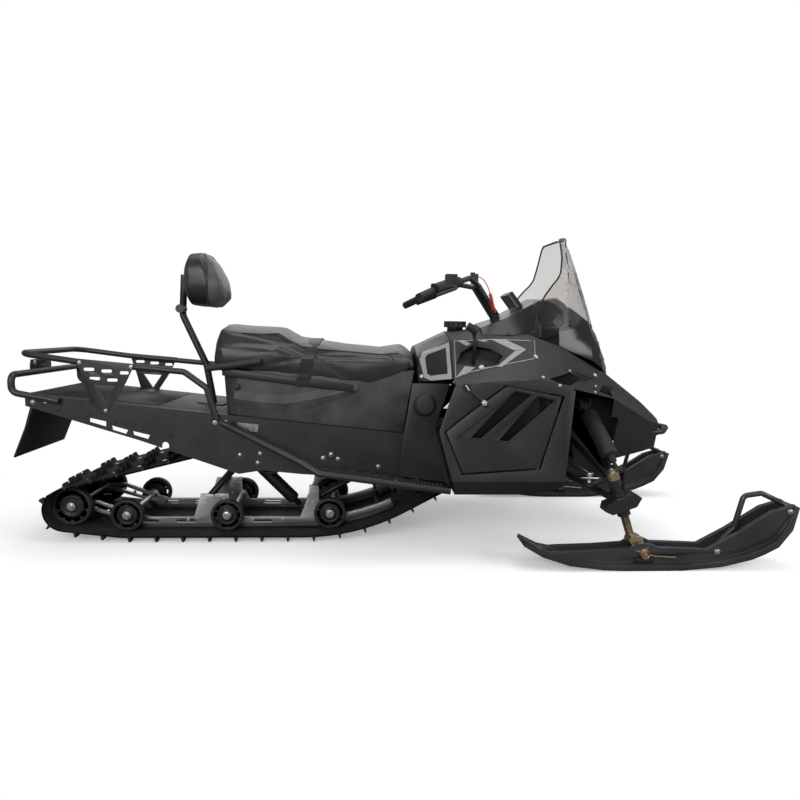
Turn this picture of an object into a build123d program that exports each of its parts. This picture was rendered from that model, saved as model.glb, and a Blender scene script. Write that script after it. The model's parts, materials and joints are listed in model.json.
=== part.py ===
from build123d import *
import math
import os

# A long-track utility snowmobile, in millimetres. X points to the nose, Y to the rider's left and Z up.
# Stations along X are measured from a datum under the rider's feet, and the whole machine is moved at
# the end so that its origin is the middle of its footprint. Side outlines are (x, z) corners, and where a
# piece has a twin on the other side it is drawn on the right, at negative Y, and mirrored.

os.makedirs("parts", exist_ok=True)

GAP = 5                      # clearance round a piece that moves
FIT = 0.3                    # running clearance at a pin, a seat or a curved face
SHEET = 3                    # aluminium sheet of the tunnel and the rack plates
PLASTIC = 5                  # moulded covers
BOLT = 8                     # through bolts of the suspension

# Track and the wheels that it runs on
TRACK_WIDTH = 500
TRACK_CLEAR = 15             # from the track's edge to the tunnel's outer face
BELT = 7
LUG = 20
LUG_THICK = 12
PITCH = 52
GROUND_BEND_R = 865          # belt's outer face where it lifts ahead of the rails
GROUND_BEND_X = -236
RAIL_WHEEL_R = 66
RAIL_WHEEL_X = (-950, -551, -132)
IDLER_R = 79
IDLER_X = -1166
IDLER_Z = 131
CARRIER_R = 75
CARRIER_X = -380
CARRIER_Z = 338
SPROCKET_R = 91
DRIVE_X = 330
DRIVE_Z = 318
WHEEL_WIDTH = 28
WHEEL_Y = TRACK_WIDTH / 2 - 72   # wheels run inside the track's edge
AXLE_D = 20
BELT_TOP = LUG + BELT        # inner face of the belt's ground run
RAIL_WHEEL_Z = BELT_TOP + RAIL_WHEEL_R
BEND_STEP = math.radians(2.35)   # the belt bends in short flats, one a lug or so

# Slide rails
RAIL_Y = WHEEL_Y - 38
RAIL_THICK = 14
RAIL_HEIGHT = 46
SHOE = 12

# Tunnel
TUNNEL_HALF = TRACK_WIDTH / 2 + TRACK_CLEAR
DECK_REAR = (-1282, 594)
DECK_FRONT = (175, 449)
NOSE_R = 131                 # front of the tunnel round the drive sprockets
DECK_SLOPE = (DECK_FRONT[1] - DECK_REAR[1]) / (DECK_FRONT[0] - DECK_REAR[0])
PANEL_X = (-1235, -800)      # pressed panel of the cargo deck, inside the rail
PANEL_HALF = TUNNEL_HALF - 50
PANEL_LIFT = 2

# Running boards
BOARD_EDGE_Y = 430
EDGE_TUBE = 25
COVER_Y = TUNNEL_HALF + 35   # outer face of the panels beside the seat box's front
WIDE = 600                   # past the machine's side, for cuts that go right through

# Body shells
SIDE_LOW = (440, 300)        # y and z of the side's widest line
SIDE_HIGH = (398, 655)       # y and z where the side meets the hood
FLOOR_HALF = 390
FLOOR_Z = 237
DOOR_GAP = 6
DOOR_THICK = 14
HINGE_D = DOOR_THICK - 1     # rolled front edge of the door, round its hinge line
VENT_DEPTH = 6

# Rack and bumpers
TUBE = 24
RACK_HALF = TUNNEL_HALF - 30
HITCH_X = DECK_REAR[0] - 45
HITCH_Z = 557
HITCH_BORE = 21
HITCH_HALF = 30

# Seat
BOX_HALF = TRACK_WIDTH / 2
SEAT_HALF = BOX_HALF - 15

# Front end
SKI_Y = 490
SKI_WIDTH = 150
SKI_PIVOT = (1040, 55)
KING_FOOT = (1012, 85)
KING_TOP = (920, 348)
SPINDLE_D = 30
STEER_AXIS = (-0.559, 0, 0.829)
STEER_BASE = (577, 0, 907)
BAR_D = 22
POST_D = 30
RISER_D = 44
GRIP_D = 34


def deck_z(x):
    """Height of the tunnel's top at a station."""
    return DECK_FRONT[1] + (x - DECK_FRONT[0]) * DECK_SLOPE


def side_y(z):
    """Half width of the body shell's outer face at a height."""
    share = (z - SIDE_LOW[1]) / (SIDE_HIGH[1] - SIDE_LOW[1])
    return SIDE_LOW[0] + share * (SIDE_HIGH[0] - SIDE_LOW[0])


def rail_wheel_z(x):
    """Height of a rail wheel's axle: over the flat run, or over the bend ahead of it."""
    if x < GROUND_BEND_X:
        return RAIL_WHEEL_Z
    reach = GROUND_BEND_R - BELT - RAIL_WHEEL_R
    return LUG + GROUND_BEND_R - math.sqrt(reach ** 2 - (x - GROUND_BEND_X) ** 2)


def face_of(*curves):
    """Flat face inside a closed run of lines and arcs."""
    return make_face([edge for curve in curves for edge in curve.edges()])


def slab(outline, y_low, y_high):
    """Side outline, as corners or a face, extruded from y_low to y_high."""
    face = outline if isinstance(outline, Sketch) else face_of(Polyline(*outline, close=True))
    return extrude(Plane.XZ.offset(-y_high) * face, y_high - y_low)


def block(x, y, z):
    """Box given by its two ends along each axis."""
    size = (x[1] - x[0], y[1] - y[0], z[1] - z[0])
    return Pos((x[0] + x[1]) / 2, (y[0] + y[1]) / 2, (z[0] + z[1]) / 2) * Box(*size)


def rod(start, end, diameter):
    """Round bar between two points."""
    line = Vector(*end) - Vector(*start)
    bar = Cylinder(diameter / 2, line.length, align=(Align.CENTER, Align.CENTER, Align.MIN))
    return Plane(origin=start, z_dir=line.normalized()) * bar


def pin(x, z, y_low, y_high, diameter):
    """Round bar across the machine."""
    return rod((x, y_low, z), (x, y_high, z), diameter)


def tube(points, diameter, bend):
    """Bent tube through a few points, with the same bend at each corner."""
    path = FilletPolyline(*points, radius=bend)
    return sweep(Plane(origin=path @ 0, z_dir=path % 0) * Circle(diameter / 2), path)


def twin(shape):
    """A right-hand piece and its mirror image."""
    return Compound(children=[shape, mirror(shape, about=Plane.XZ)])


def mirrored(shape):
    return mirror(shape, about=Plane.XZ)


def fused_twin(shape):
    """A right-hand half joined to its mirror image."""
    return shape + mirror(shape, about=Plane.XZ)


def loft_shell(sections, wall, drop):
    """Ruled skin over half sections (x, [(y, z), ...]) given from the side up to the centre line."""
    outer = loft([section_face(x, half, 0, 0) for x, half in sections], ruled=True)
    inner = loft([section_face(x, half, wall, drop) for x, half in sections], ruled=True)
    return outer - inner


def section_face(x, half, wall, drop):
    """Closed cross-section at x, moved inwards by the wall and opened below by the drop."""
    low_y, low_z = half[0]
    points = [(low_y + wall, low_z - drop)]
    points += [(min(y + wall, 0), z - wall * 1.2) for y, z in half[1:]]
    points += [(-y, z) for y, z in reversed(points) if y < 0]
    corners = [(x, y, z) for y, z in points]
    return make_face(Polyline(*corners, close=True).edges())


# Track

def belt_circles():
    """Centre and outer radius of each circle that the belt bends round, from the rear, anticlockwise."""
    return [
        (IDLER_X, IDLER_Z, IDLER_R + BELT),
        (RAIL_WHEEL_X[0], RAIL_WHEEL_Z, RAIL_WHEEL_R + BELT),
        (GROUND_BEND_X, LUG + GROUND_BEND_R, GROUND_BEND_R),
        (DRIVE_X, DRIVE_Z, SPROCKET_R + BELT),
        (CARRIER_X, CARRIER_Z, CARRIER_R + BELT),
    ]


def belt_path(inset):
    """Tangent lines and arcs of the loop, each as (kind, ...), inset from the belt's outer face."""
    circles = [(x, z, r - inset) for x, z, r in belt_circles()]
    angles = []
    for index, (x, z, r) in enumerate(circles):
        nx, nz, nr = circles[(index + 1) % len(circles)]
        heading = math.atan2(nz - z, nx - x)
        angles.append(heading - math.acos((r - nr) / math.hypot(nx - x, nz - z)))
    spans = []
    for index, (x, z, r) in enumerate(circles):
        arrive = angles[index - 1]
        leave = angles[index]
        while leave < arrive - 1e-9:
            leave += 2 * math.pi
        spans.append(("arc", x, z, r, arrive, leave))
        nx, nz, nr = circles[(index + 1) % len(circles)]
        start = (x + r * math.cos(leave), z + r * math.sin(leave))
        end = (nx + nr * math.cos(leave), nz + nr * math.sin(leave))
        spans.append(("line", start, end, leave))
    return spans


def arc_points(x, z, radius, start, end, count):
    """Points along an arc, ends included, at equal angles."""
    angles = [start + (end - start) * index / count for index in range(count + 1)]
    return [(x + radius * math.cos(angle), z + radius * math.sin(angle)) for angle in angles]


def belt_face(inset):
    """Loop outline of the belt, with short flats round the bend and arcs round the wheels."""
    curves = []
    for span in belt_path(inset):
        if span[0] == "line":
            curves.append(Line(span[1], span[2]))
        elif span[3] > 5 * IDLER_R:
            curves.append(Polyline(*arc_points(*span[1:], bend_flats())))
        elif span[5] - span[4] > 1e-6:
            curves.append(ThreePointArc(*arc_points(*span[1:], 2)))
    return face_of(*curves)


def belt_stations():
    """Point and outward direction at each pitch round the belt's outer face."""
    spans = belt_path(0)
    lengths = []
    for span in spans:
        if span[0] == "line":
            lengths.append(math.dist(span[1], span[2]))
        else:
            lengths.append(span[3] * (span[5] - span[4]))
    count = 2 * round(sum(lengths) / PITCH / 2)
    step = sum(lengths) / count
    stations = []
    for index in range(count):
        along = (index + 0.5) * step
        for span, length in zip(spans, lengths):
            if along <= length:
                break
            along -= length
        if span[0] == "line":
            share = along / length
            point = tuple(a + (b - a) * share for a, b in zip(span[1], span[2]))
            stations.append((point, span[3]))
        else:
            angle = span[4] + along / span[3]
            point = (span[1] + span[3] * math.cos(angle), span[2] + span[3] * math.sin(angle))
            stations.append((point, angle))
    return stations


def track():
    belt = slab(belt_face(0), -TRACK_WIDTH / 2, TRACK_WIDTH / 2) - slab(belt_face(BELT), -TRACK_WIDTH, TRACK_WIDTH)
    outer_bar = (TRACK_WIDTH / 2 - 150, TRACK_WIDTH / 2)
    lugs = []
    for index, ((x, z), angle) in enumerate(belt_stations()):
        if index % 2:
            spans = [outer_bar, (-outer_bar[1], -outer_bar[0])]
        else:
            spans = [(-90, 90)]
        for low, high in spans:
            bar = block((-1, LUG), (low, high), (-LUG_THICK / 2, LUG_THICK / 2))
            lugs.append(Pos(x, 0, z) * Rot(0, -math.degrees(angle), 0) * bar)
    return belt + lugs


# Wheels and axles of the track

def wheel(x, z, radius, y, windows=10):
    """Rubber-tyred wheel with a ring, a web of small windows and a hub, across the machine at y."""
    half = WHEEL_WIDTH / 2
    rim = 12
    hub = 22
    web = 5
    ring = hub + 0.42 * (radius - rim - hub)
    side = [(hub, half), (hub + 2, web + 4), (ring - 5, web + 2), (ring - 3, web + 6), (ring + 3, web + 6),
            (ring + 5, web), (radius - rim, web), (radius - rim, half), (radius - 3, half), (radius, half - 3)]
    section = [(AXLE_D / 2, half), *side] + [(r, -y) for r, y in reversed(side)] + [(AXLE_D / 2, -half)]
    body = revolve(Plane.XZ * face_of(Polyline(*section, close=True)), Axis.Z)
    low = ring + 6
    high = radius - rim - 2
    for window in PolarLocations((low + high) / 2, windows):
        body -= window * Box(high - low, 2 * math.pi * low / windows - 6, 2 * WHEEL_WIDTH)
    return Pos(x, y, z) * Rot(90, 0, 0) * body


def wheel_pair(x, z, radius, y=WHEEL_Y):
    return [wheel(x, z, radius - FIT, side * y) for side in (-1, 1)]


def axle(x, z, half_length):
    """Axle with a washer and a bolt head on each end."""
    bar = pin(x, z, -half_length, half_length, AXLE_D)
    for side in (-1, 1):
        washer = sorted((side * half_length, side * (half_length + 3)))
        head = sorted((side * (half_length + 3), side * (half_length + 10)))
        bar += pin(x, z, washer[0], washer[1], 34)
        bar += pin(x, z, head[0], head[1], 19)
    return bar


def idler_wheels():
    return Compound(children=wheel_pair(IDLER_X, IDLER_Z, IDLER_R))


def rail_wheels():
    wheels = []
    for x in RAIL_WHEEL_X:
        wheels += wheel_pair(x, rail_wheel_z(x), RAIL_WHEEL_R)
    return Compound(children=wheels)


def wheel_axle_places():
    return [(IDLER_X, IDLER_Z)] + [(x, rail_wheel_z(x)) for x in RAIL_WHEEL_X]


def wheel_axles():
    """Axles of the idlers and the rail wheels, each in a boss on the rails."""
    return Compound(children=[axle(x, z, WHEEL_Y + WHEEL_WIDTH / 2) for x, z in wheel_axle_places()])


def carrier_wheels():
    """Upper wheels on their cross shaft under the tunnel."""
    shaft = pin(CARRIER_X, CARRIER_Z, -TUNNEL_HALF + SHEET, TUNNEL_HALF - SHEET, AXLE_D)
    for piece in wheel_pair(CARRIER_X, CARRIER_Z, CARRIER_R):
        shaft += piece
    return shaft


def drive_axle():
    """Drive shaft in the tunnel with two toothed sprockets."""
    shaft = pin(DRIVE_X, DRIVE_Z, -TUNNEL_HALF + SHEET, TUNNEL_HALF - SHEET, 30)
    teeth = 9
    for y in (-100, 100):
        disc = Cylinder(SPROCKET_R - 14, 34)
        for tooth in PolarLocations(SPROCKET_R - 12, teeth):
            disc += tooth * Box(20, 16, 34)
        disc &= Cylinder(SPROCKET_R - FIT, 34)
        shaft += Pos(DRIVE_X, y, DRIVE_Z) * Rot(90, 0, 0) * disc
    return shaft


# Slide rails and their suspension

def bend_angle():
    """Angle through which the belt turns at its bend ahead of the rails."""
    span = [row for row in belt_path(0) if row[0] == "arc" and row[3] > 5 * IDLER_R][0]
    return span[5] - span[4]


def bend_flats():
    return round(bend_angle() / BEND_STEP)


def rail_outline(low, high, x_rear):
    """Band above the belt's inner face from low to high, with a flat run and a rising front."""
    down = -math.pi / 2
    bottom, top = [arc_points(GROUND_BEND_X, LUG + GROUND_BEND_R, GROUND_BEND_R - BELT - height,
                              down, down + bend_angle(), bend_flats())[:-1] for height in (low, high)]
    rear = [(x_rear + 18, BELT_TOP + high), (x_rear, BELT_TOP + low)]
    return face_of(Polyline(*bottom, *reversed(top), *rear, close=True))


RAIL_REAR_X = -940
REAR_PIVOT = (-500, 312)
REAR_ARM_FOOT = (-640, 150)
FRONT_PIVOT = (20, 300)
FRONT_ARM_FOOT = (-205, 135)
ARM_BAR = 28


RAIL_BRACKETS = [
    # corners, then the centres of its bolt holes
    ([(-614, 60), (-548, 60), (-553, 172), (-609, 172)], [(-597, 100), (-572, 150)]),
    ([(-229, 60), (-176, 66), (-182, 208), (-221, 208)], [(-202, 184)]),
]


def slide_rails():
    """Two rails with slide shoes, lightening slots, axle bosses and the plates that carry the idlers."""
    low = SHOE + FIT
    rail = slab(rail_outline(low, RAIL_HEIGHT, RAIL_REAR_X), -RAIL_THICK / 2, RAIL_THICK / 2)
    slot_z = BELT_TOP + (low + RAIL_HEIGHT) / 2
    for x in range(-880, -260, 155):
        if min(abs(x - wheel_x) for wheel_x in RAIL_WHEEL_X) > 60:
            slot = Rot(90, 0, 0) * extrude(SlotOverall(84, 14), RAIL_THICK, both=True)
            rail -= Pos(x, 0, slot_z) * slot
    for x in RAIL_WHEEL_X:
        z = rail_wheel_z(x)
        rail += pin(x, z, -RAIL_THICK / 2, RAIL_THICK / 2, 46)
        rail += slab([(x - 40, z - 34), (x + 40, z - 34), (x + 18, z + 12), (x - 18, z + 12)],
                     -RAIL_THICK / 2, RAIL_THICK / 2)
    foot_x, foot_z = REAR_ARM_FOOT
    rail += slab([(foot_x - 60, BELT_TOP + 30), (foot_x + 70, BELT_TOP + 30), (foot_x + 26, foot_z + 20),
                  (foot_x - 26, foot_z + 20)], -RAIL_THICK / 2, RAIL_THICK / 2)
    foot_x, foot_z = FRONT_ARM_FOOT
    rail += slab([(foot_x - 60, BELT_TOP + 30), (foot_x + 60, BELT_TOP + 30), (foot_x + 22, foot_z + 18),
                  (foot_x - 22, foot_z + 18)], -RAIL_THICK / 2, RAIL_THICK / 2)
    for corners, bolts in RAIL_BRACKETS:
        rail += slab(corners, -RAIL_THICK / 2, RAIL_THICK / 2)
        for x, z in bolts:
            rail -= pin(x, z, -RAIL_THICK, RAIL_THICK, BOLT + 2)
    extension = slab([(IDLER_X - 26, IDLER_Z + 20), (IDLER_X - 26, IDLER_Z - 20), (IDLER_X + 60, IDLER_Z - 28),
                      (RAIL_REAR_X + 30, BELT_TOP + low + 4), (RAIL_REAR_X + 60, BELT_TOP + RAIL_HEIGHT),
                      (IDLER_X + 90, IDLER_Z + 12)], -RAIL_THICK / 2, RAIL_THICK / 2)
    extension -= slab([(IDLER_X + 60, IDLER_Z - 12), (RAIL_REAR_X, BELT_TOP + 36), (RAIL_REAR_X + 10, BELT_TOP + 42),
                       (IDLER_X + 84, IDLER_Z)], -RAIL_THICK, RAIL_THICK)
    rail += extension
    for x, z in wheel_axle_places():
        rail -= pin(x, z, -RAIL_THICK, RAIL_THICK, AXLE_D)
    return Compound(children=[Pos(0, side * RAIL_Y, 0) * rail for side in (-1, 1)])


def slide_shoes():
    """Wear strips under the rails."""
    shoe = slab(rail_outline(FIT, SHOE + FIT, RAIL_REAR_X), -RAIL_THICK / 2 - 3, RAIL_THICK / 2 + 3)
    return Compound(children=[Pos(0, side * RAIL_Y, 0) * shoe for side in (-1, 1)])


def swing_arm(pivot, foot, spread_top, spread_foot, diameter):
    """Arm of two tubes between a cross tube under the tunnel and a cross tube in the rails."""
    arm = pin(pivot[0], pivot[1], -TUNNEL_HALF + SHEET, TUNNEL_HALF - SHEET, diameter)
    arm += pin(foot[0], foot[1], -RAIL_Y + RAIL_THICK / 2, RAIL_Y - RAIL_THICK / 2, diameter)
    for side in (-1, 1):
        arm += rod((pivot[0], side * spread_top, pivot[1]), (foot[0], side * spread_foot, foot[1]), diameter)
    return arm


def shock(top, foot, body_d, eye_d, rod_d=12, eye_width=26, eye_axis=(0, 1, 0)):
    """Damper with its spring sleeve, from the upper eye to the lower eye."""
    line = Vector(*foot) - Vector(*top)
    length = line.length
    neck = eye_d / 2 + 18
    profile = [(0, 0), (rod_d / 2, 0), (rod_d / 2, neck), (body_d / 2 - 4, neck + 6), (body_d / 2, neck + 14),
               (body_d / 2, length - 74), (body_d / 2 - 5, length - 66), (rod_d, length - 62),
               (rod_d, length - 40), (rod_d / 2, length - 36), (rod_d / 2, length), (0, length)]
    body = revolve(Plane.XZ * face_of(Polyline(*profile, close=True)), Axis.Z)
    damper = Plane(origin=top, x_dir=(0, 1, 0), z_dir=line.normalized()) * body
    half = Vector(*eye_axis) * (eye_width / 2)
    for end in (top, foot):
        damper += rod(tuple(Vector(*end) - half), tuple(Vector(*end) + half), eye_d)
    return damper


def rail_arms():
    spreads = (TUNNEL_HALF - 40, RAIL_Y - 45)
    return Compound(children=[swing_arm(REAR_PIVOT, REAR_ARM_FOOT, *spreads, ARM_BAR),
                              swing_arm(FRONT_PIVOT, FRONT_ARM_FOOT, *spreads, ARM_BAR)])


def rail_shocks():
    """Dampers between the arms and the rails, each on its own cross pin between the rails."""
    low_pin = RAIL_Y - RAIL_THICK / 2
    rear_foot = (REAR_ARM_FOOT[0] + 390, 0, BELT_TOP + 34)
    rear = shock((REAR_PIVOT[0], 0, REAR_PIVOT[1]), rear_foot, 54, 40)
    rear -= pin(REAR_PIVOT[0], REAR_PIVOT[1], -60, 60, ARM_BAR)
    rear += pin(rear_foot[0], rear_foot[2], -low_pin, low_pin, 14)
    front_foot = (FRONT_PIVOT[0] + 40, 0, 140)
    front = shock((FRONT_PIVOT[0], 0, FRONT_PIVOT[1]), front_foot, 40, 40)
    front -= pin(FRONT_PIVOT[0], FRONT_PIVOT[1], -60, 60, ARM_BAR)
    front += pin(front_foot[0], front_foot[2], -low_pin, low_pin, 14)
    return Compound(children=[rear, front])


# Tunnel and running boards

def tunnel_outline(lift):
    """Closed side outline of the tunnel, with its top lowered by lift and its front drawn in by it."""
    top_rear = (DECK_REAR[0] - lift, DECK_REAR[1] - lift)
    crown = (DRIVE_X, DRIVE_Z + NOSE_R - lift)
    front = (DRIVE_X + NOSE_R - lift, DRIVE_Z)
    middle = (DRIVE_X + (NOSE_R - lift) * math.cos(math.pi / 4), DRIVE_Z + (NOSE_R - lift) * math.sin(math.pi / 4))
    foot = [(front[0], DRIVE_Z - 40 - lift * 200), (DRIVE_X + 60, 250 - lift * 200), (-240, 285 - lift * 200),
            (-395, 300 - lift * 200), (-485, 285 - lift * 200), (-860, 416 - lift * 200),
            (-1140, 502 - lift * 200), (DECK_REAR[0] - lift, 547 - lift * 200), top_rear]
    return face_of(Line(top_rear, (DECK_FRONT[0], DECK_FRONT[1] - lift)),
                   Line((DECK_FRONT[0], DECK_FRONT[1] - lift), crown), ThreePointArc(crown, middle, front),
                   Polyline(front, *foot))


CHEEK_SLOTS = [
    # four corners of each slot along the cheek's lower edge
    [(-1045, 503), (-985, 490), (-986, 470), (-1046, 488)],
    [(-964, 474), (-904, 457), (-912, 442), (-961, 457)],
    [(-886, 453), (-822, 438), (-830, 422), (-882, 438)],
]
CHEEK_NOTCH = (-764, 398)
NOTCH_R = 13


def tunnel():
    """Sheet channel over the track, with a sloped deck, deep cheeks and slotted rear corners."""
    inside = TUNNEL_HALF - SHEET
    body = slab(tunnel_outline(0), -TUNNEL_HALF, TUNNEL_HALF) - slab(tunnel_outline(SHEET), -inside, inside)
    for corners in CHEEK_SLOTS:
        body -= slab(corners, -WIDE, WIDE)
    x, z = CHEEK_NOTCH
    body -= pin(x, z, -WIDE, WIDE, 2 * NOTCH_R) + block((x - NOTCH_R, x + NOTCH_R), (-WIDE, WIDE), (z - 40, z))
    rear, front = PANEL_X
    panel = [(rear, deck_z(rear)), (front, deck_z(front)), (front, deck_z(front) + PANEL_LIFT),
             (rear, deck_z(rear) + PANEL_LIFT)]
    return body + slab(panel, -PANEL_HALF, PANEL_HALF)


def running_boards():
    """Toothed foot boards with a tube along their outer edge that rises to the tunnel at the rear."""
    foot = TUNNEL_HALF + EDGE_TUBE / 2 + FIT
    edge = tube([(-545, -foot, 489), (-520, -foot - 8, 480), (-225, -BOARD_EDGE_Y + 26, 361),
                 (-160, -BOARD_EDGE_Y, 327), (215, -BOARD_EDGE_Y, 276), (330, -BOARD_EDGE_Y, 262)], EDGE_TUBE, 30)
    low = 268
    board = slab([(-150, 322), (215, 273), (330, 258), (330, 254), (215, 268), (-150, 317)],
                 -BOARD_EDGE_Y, -TUNNEL_HALF)
    for index in range(6):
        x = -105 + index * 62
        for y in (-385, -345, -305):
            board -= Pos(x, y, low + 25) * Box(34, 22, 120)
    return twin(edge + board)


# Covers

HOOD = [
    # station x, then half section (y, z) from the side seam up to the centre line
    (345, [(-398, 655), (-338, 675), (-222, 822), (-110, 848), (0, 855)]),
    (660, [(-394, 685), (-332, 758), (-258, 842), (-130, 880), (0, 890)]),
    (787, [(-398, 650), (-320, 725), (-245, 800), (-125, 830), (0, 840)]),
    (1000, [(-285, 600), (-215, 640), (-165, 690), (-90, 715), (0, 722)]),
]
NOSE = [
    (1000, [(-262, 505), (-285, 600), (-215, 640), (-165, 690), (-90, 715), (0, 722)]),
    (1079, [(-150, 331), (-245, 559), (-189, 595), (-147, 637), (-82, 658), (0, 664)]),
    (1200, [(-132, 358), (-185, 495), (-150, 525), (-120, 555), (-70, 570), (0, 574)]),
    (1262, [(-110, 371), (-140, 478), (-120, 497), (-90, 508), (-50, 514), (0, 516)]),
]
TANK = [
    (213, [(-262, 655), (-212, 752), (-90, 785), (0, 790)]),
    (345, [(-338, 675), (-222, 822), (-110, 848), (0, 855)]),
]


LEVER_Y = -262
HOOD_VENTS = [
    # corners of the opening, then how far in from the side it is cut
    ([(702, 685), (793, 706), (866, 683), (771, 655)], 250),
    ([(928, 630), (968, 647), (1000, 638), (1000, 607)], 180),
]
POCKET = [(361, 731), (379, 774), (429, 802), (496, 791), (540, 765), (518, 734), (452, 721)]
POCKET_DEEP = 24


def hood_solid(wall):
    """The hood's closed form, drawn in by a wall."""
    return loft([section_face(x, half, wall, wall * 1.2) for x, half in HOOD], ruled=True)


def hood():
    """Hood with a vent row on each side and the gear lever's pocket on the right."""
    skin = loft_shell(HOOD, PLASTIC, 30)
    mouth = face_of(Polyline(*POCKET, close=True))
    rim = offset(mouth, amount=PLASTIC, kind=Kind.INTERSECTION)
    skin += slab(rim, -WIDE, -150) & (hood_solid(0) - hood_solid(POCKET_DEEP + PLASTIC))
    skin -= slab(mouth, -WIDE, -150) - hood_solid(POCKET_DEEP)
    for corners, inner in HOOD_VENTS:
        cut = slab(corners, -WIDE, -inner)
        skin -= cut + mirrored(cut)
    return skin


def gear_lever():
    """Lever that stands in the hood's pocket, with a slanted knob."""
    stem = tube([(432, LEVER_Y, 728), (436, LEVER_Y, 824), (427, LEVER_Y, 862)], 14, 20)
    knob = rod((404, LEVER_Y, 880), (444, LEVER_Y, 855), 32)
    return stem + knob - hood_solid(POCKET_DEEP)


def nose_cone():
    return loft_shell(NOSE, PLASTIC, 30)


def tank_cover():
    """Fuel tank's cover between the seat and the hood, solid as a full tank is."""
    return loft([section_face(x, half, 0, 0) for x, half in TANK], ruled=True)


def shell_section(inset):
    """Closed cross-section of the body shell, from the floor to the hood seam, drawn in by inset."""
    top = 800
    points = [(FLOOR_HALF - inset * 0.4, FLOOR_Z + inset), (SIDE_LOW[0] - inset, SIDE_LOW[1]),
              (side_y(top) - inset, top + inset)]
    points += [(-y, z) for y, z in reversed(points)]
    return face_of(Polyline(*points, close=True))


SHELL_LOW = [(338, 645), (284, 485), (352, 237), (521, 230), (712, 251), (761, 275), (800, 640)]
DOOR = [(303, 486), (369, 325), (668, 346), (759, 622), (532, 660), (396, 560)]
DOOR_INNER = 300             # deeper than the door's inner face
DOOR_FRONT = (DOOR[2], DOOR[3])
HINGE_END = 0.08             # shares of the hinge line: where the door's roll starts, how far the shell's
HINGE_ROOT = 0.03            # knuckle is rooted past the opening, and the running gap between them
HINGE_RUN = 0.001
VENTS = [
    # recess's four corners, then how much of its lower edge stays closed
    ([(355, 465), (568, 637), (633, 626), (442, 462)], 0.57),
    ([(465, 458), (656, 619), (722, 604), (545, 451)], 0.57),
]


def shell_prism(inset, x_low, x_high):
    return extrude(Plane.YZ.offset(x_low) * shell_section(inset), x_high - x_low)


def hinge_point(share):
    """Point of the right door's hinge line, inside its front edge by the gap and the roll's radius."""
    (x0, z0), (x1, z1) = DOOR_FRONT
    inward = Vector(z0 - z1, 0, x1 - x0).normalized() * (DOOR_GAP + HINGE_D / 2)
    x = x0 + share * (x1 - x0) + inward.X
    z = z0 + share * (z1 - z0) + inward.Z
    return (x, -side_y(z) + DOOR_THICK / 2, z)


def knuckle(low, high, grow):
    """Round piece on the hinge line between two shares of its length."""
    return rod(hinge_point(low), hinge_point(high), HINGE_D + 2 * grow)


def belly_shell():
    """Side panels and belly pan in one, open above for the hood and behind for the tunnel."""
    body = shell_prism(0, 270, 810) - shell_prism(PLASTIC, 260, 820)
    rims = [(x, half[0][1] - FIT) for x, half in HOOD[:3]]
    body &= slab(SHELL_LOW + rims[::-1], -WIDE, WIDE)
    body -= block((200, DRIVE_X + NOSE_R), (-TUNNEL_HALF, TUNNEL_HALF), (0, 700))
    for side in (-1, 1):
        y_low, y_high = sorted((side * DOOR_INNER, side * WIDE))
        body -= slab(DOOR, y_low, y_high)
    for low, high in ((-HINGE_ROOT, HINGE_END - HINGE_RUN), (1 - HINGE_END + HINGE_RUN, 1 + HINGE_ROOT)):
        lug = knuckle(low, high, 0)
        body += lug + mirrored(lug)
    return body


def door():
    """Right-hand side panel with two slanted vents, inside its opening by a gap, with a rolled hinge edge."""
    outline = offset(face_of(Polyline(*DOOR, close=True)), amount=-DOOR_GAP, kind=Kind.INTERSECTION)
    panel = slab(outline, -WIDE, -DOOR_INNER)
    panel &= shell_prism(0, 270, 810) - shell_prism(DOOR_THICK, 260, 820)
    (x0, _, z0), (x1, _, z1) = hinge_point(-0.2), hinge_point(1.2)
    panel -= slab([(x0, z0), (x1, z1), (x1 + 60, z1), (x0 + 60, z0)], -WIDE, -DOOR_INNER)
    panel -= knuckle(-0.1, HINGE_END, FIT)
    panel -= knuckle(1 - HINGE_END, 1.1, FIT)
    panel += knuckle(HINGE_END, 1 - HINGE_END, 0)
    for recess, closed in VENTS:
        low_rear, top_rear, top_front, low_front = recess
        foot = tuple(a + closed * (b - a) for a, b in zip(low_rear, low_front))
        panel -= slab(recess, -WIDE, -DOOR_INNER) - shell_prism(VENT_DEPTH, 260, 820)
        panel -= slab([foot, top_rear, top_front, low_front], -WIDE, -DOOR_INNER)
    return panel


def knee_cover():
    """Panel round the tunnel between the seat box and the side shells, with a round boss."""
    corners = [(160, 452), (190, 654), (337, 654), (283, 485), (351, 240), (330, 262), (215, 276), (140, 288)]
    wall = slab(corners, -COVER_Y, -COVER_Y + PLASTIC)
    wall += Pos(240, -COVER_Y, 570) * Rot(90, 0, 0) * Cone(46, 34, 16, align=(Align.CENTER, Align.CENTER, Align.MIN))
    return twin(wall)


# Windshield, lamp pod and console

POD = [
    (706, [(-226, 838), (-205, 930), (-180, 985), (0, 1000)]),
    (790, [(-215, 800), (-190, 900), (-150, 1000), (0, 1003)]),
    (940, [(-185, 745), (-160, 850), (-115, 905), (0, 925)]),
    (990, [(-160, 715), (-130, 800), (-80, 850), (0, 882)]),
    (1050, [(-70, 670), (-60, 712), (-40, 728), (0, 736)]),
]
CONSOLE = [
    (480, [(-200, 830), (-140, 872), (0, 890)]),
    (580, [(-232, 845), (-165, 915), (0, 922)]),
    (706, [(-226, 838), (-180, 985), (0, 1000)]),
]
SCREEN = [
    # height, then the side edge's x and half width
    (880, 575, 268),
    (990, 592, 268),
    (1052, 656, 250),
    (1117, 690, 230),
    (1199, 721, 190),
    (1240, 797, 120),
    (1256, 840, 50),
]
SCREEN_FOOT = (980, 894)
SCREEN_TOP = (857, 1258)
SCREEN_T = 4


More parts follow.
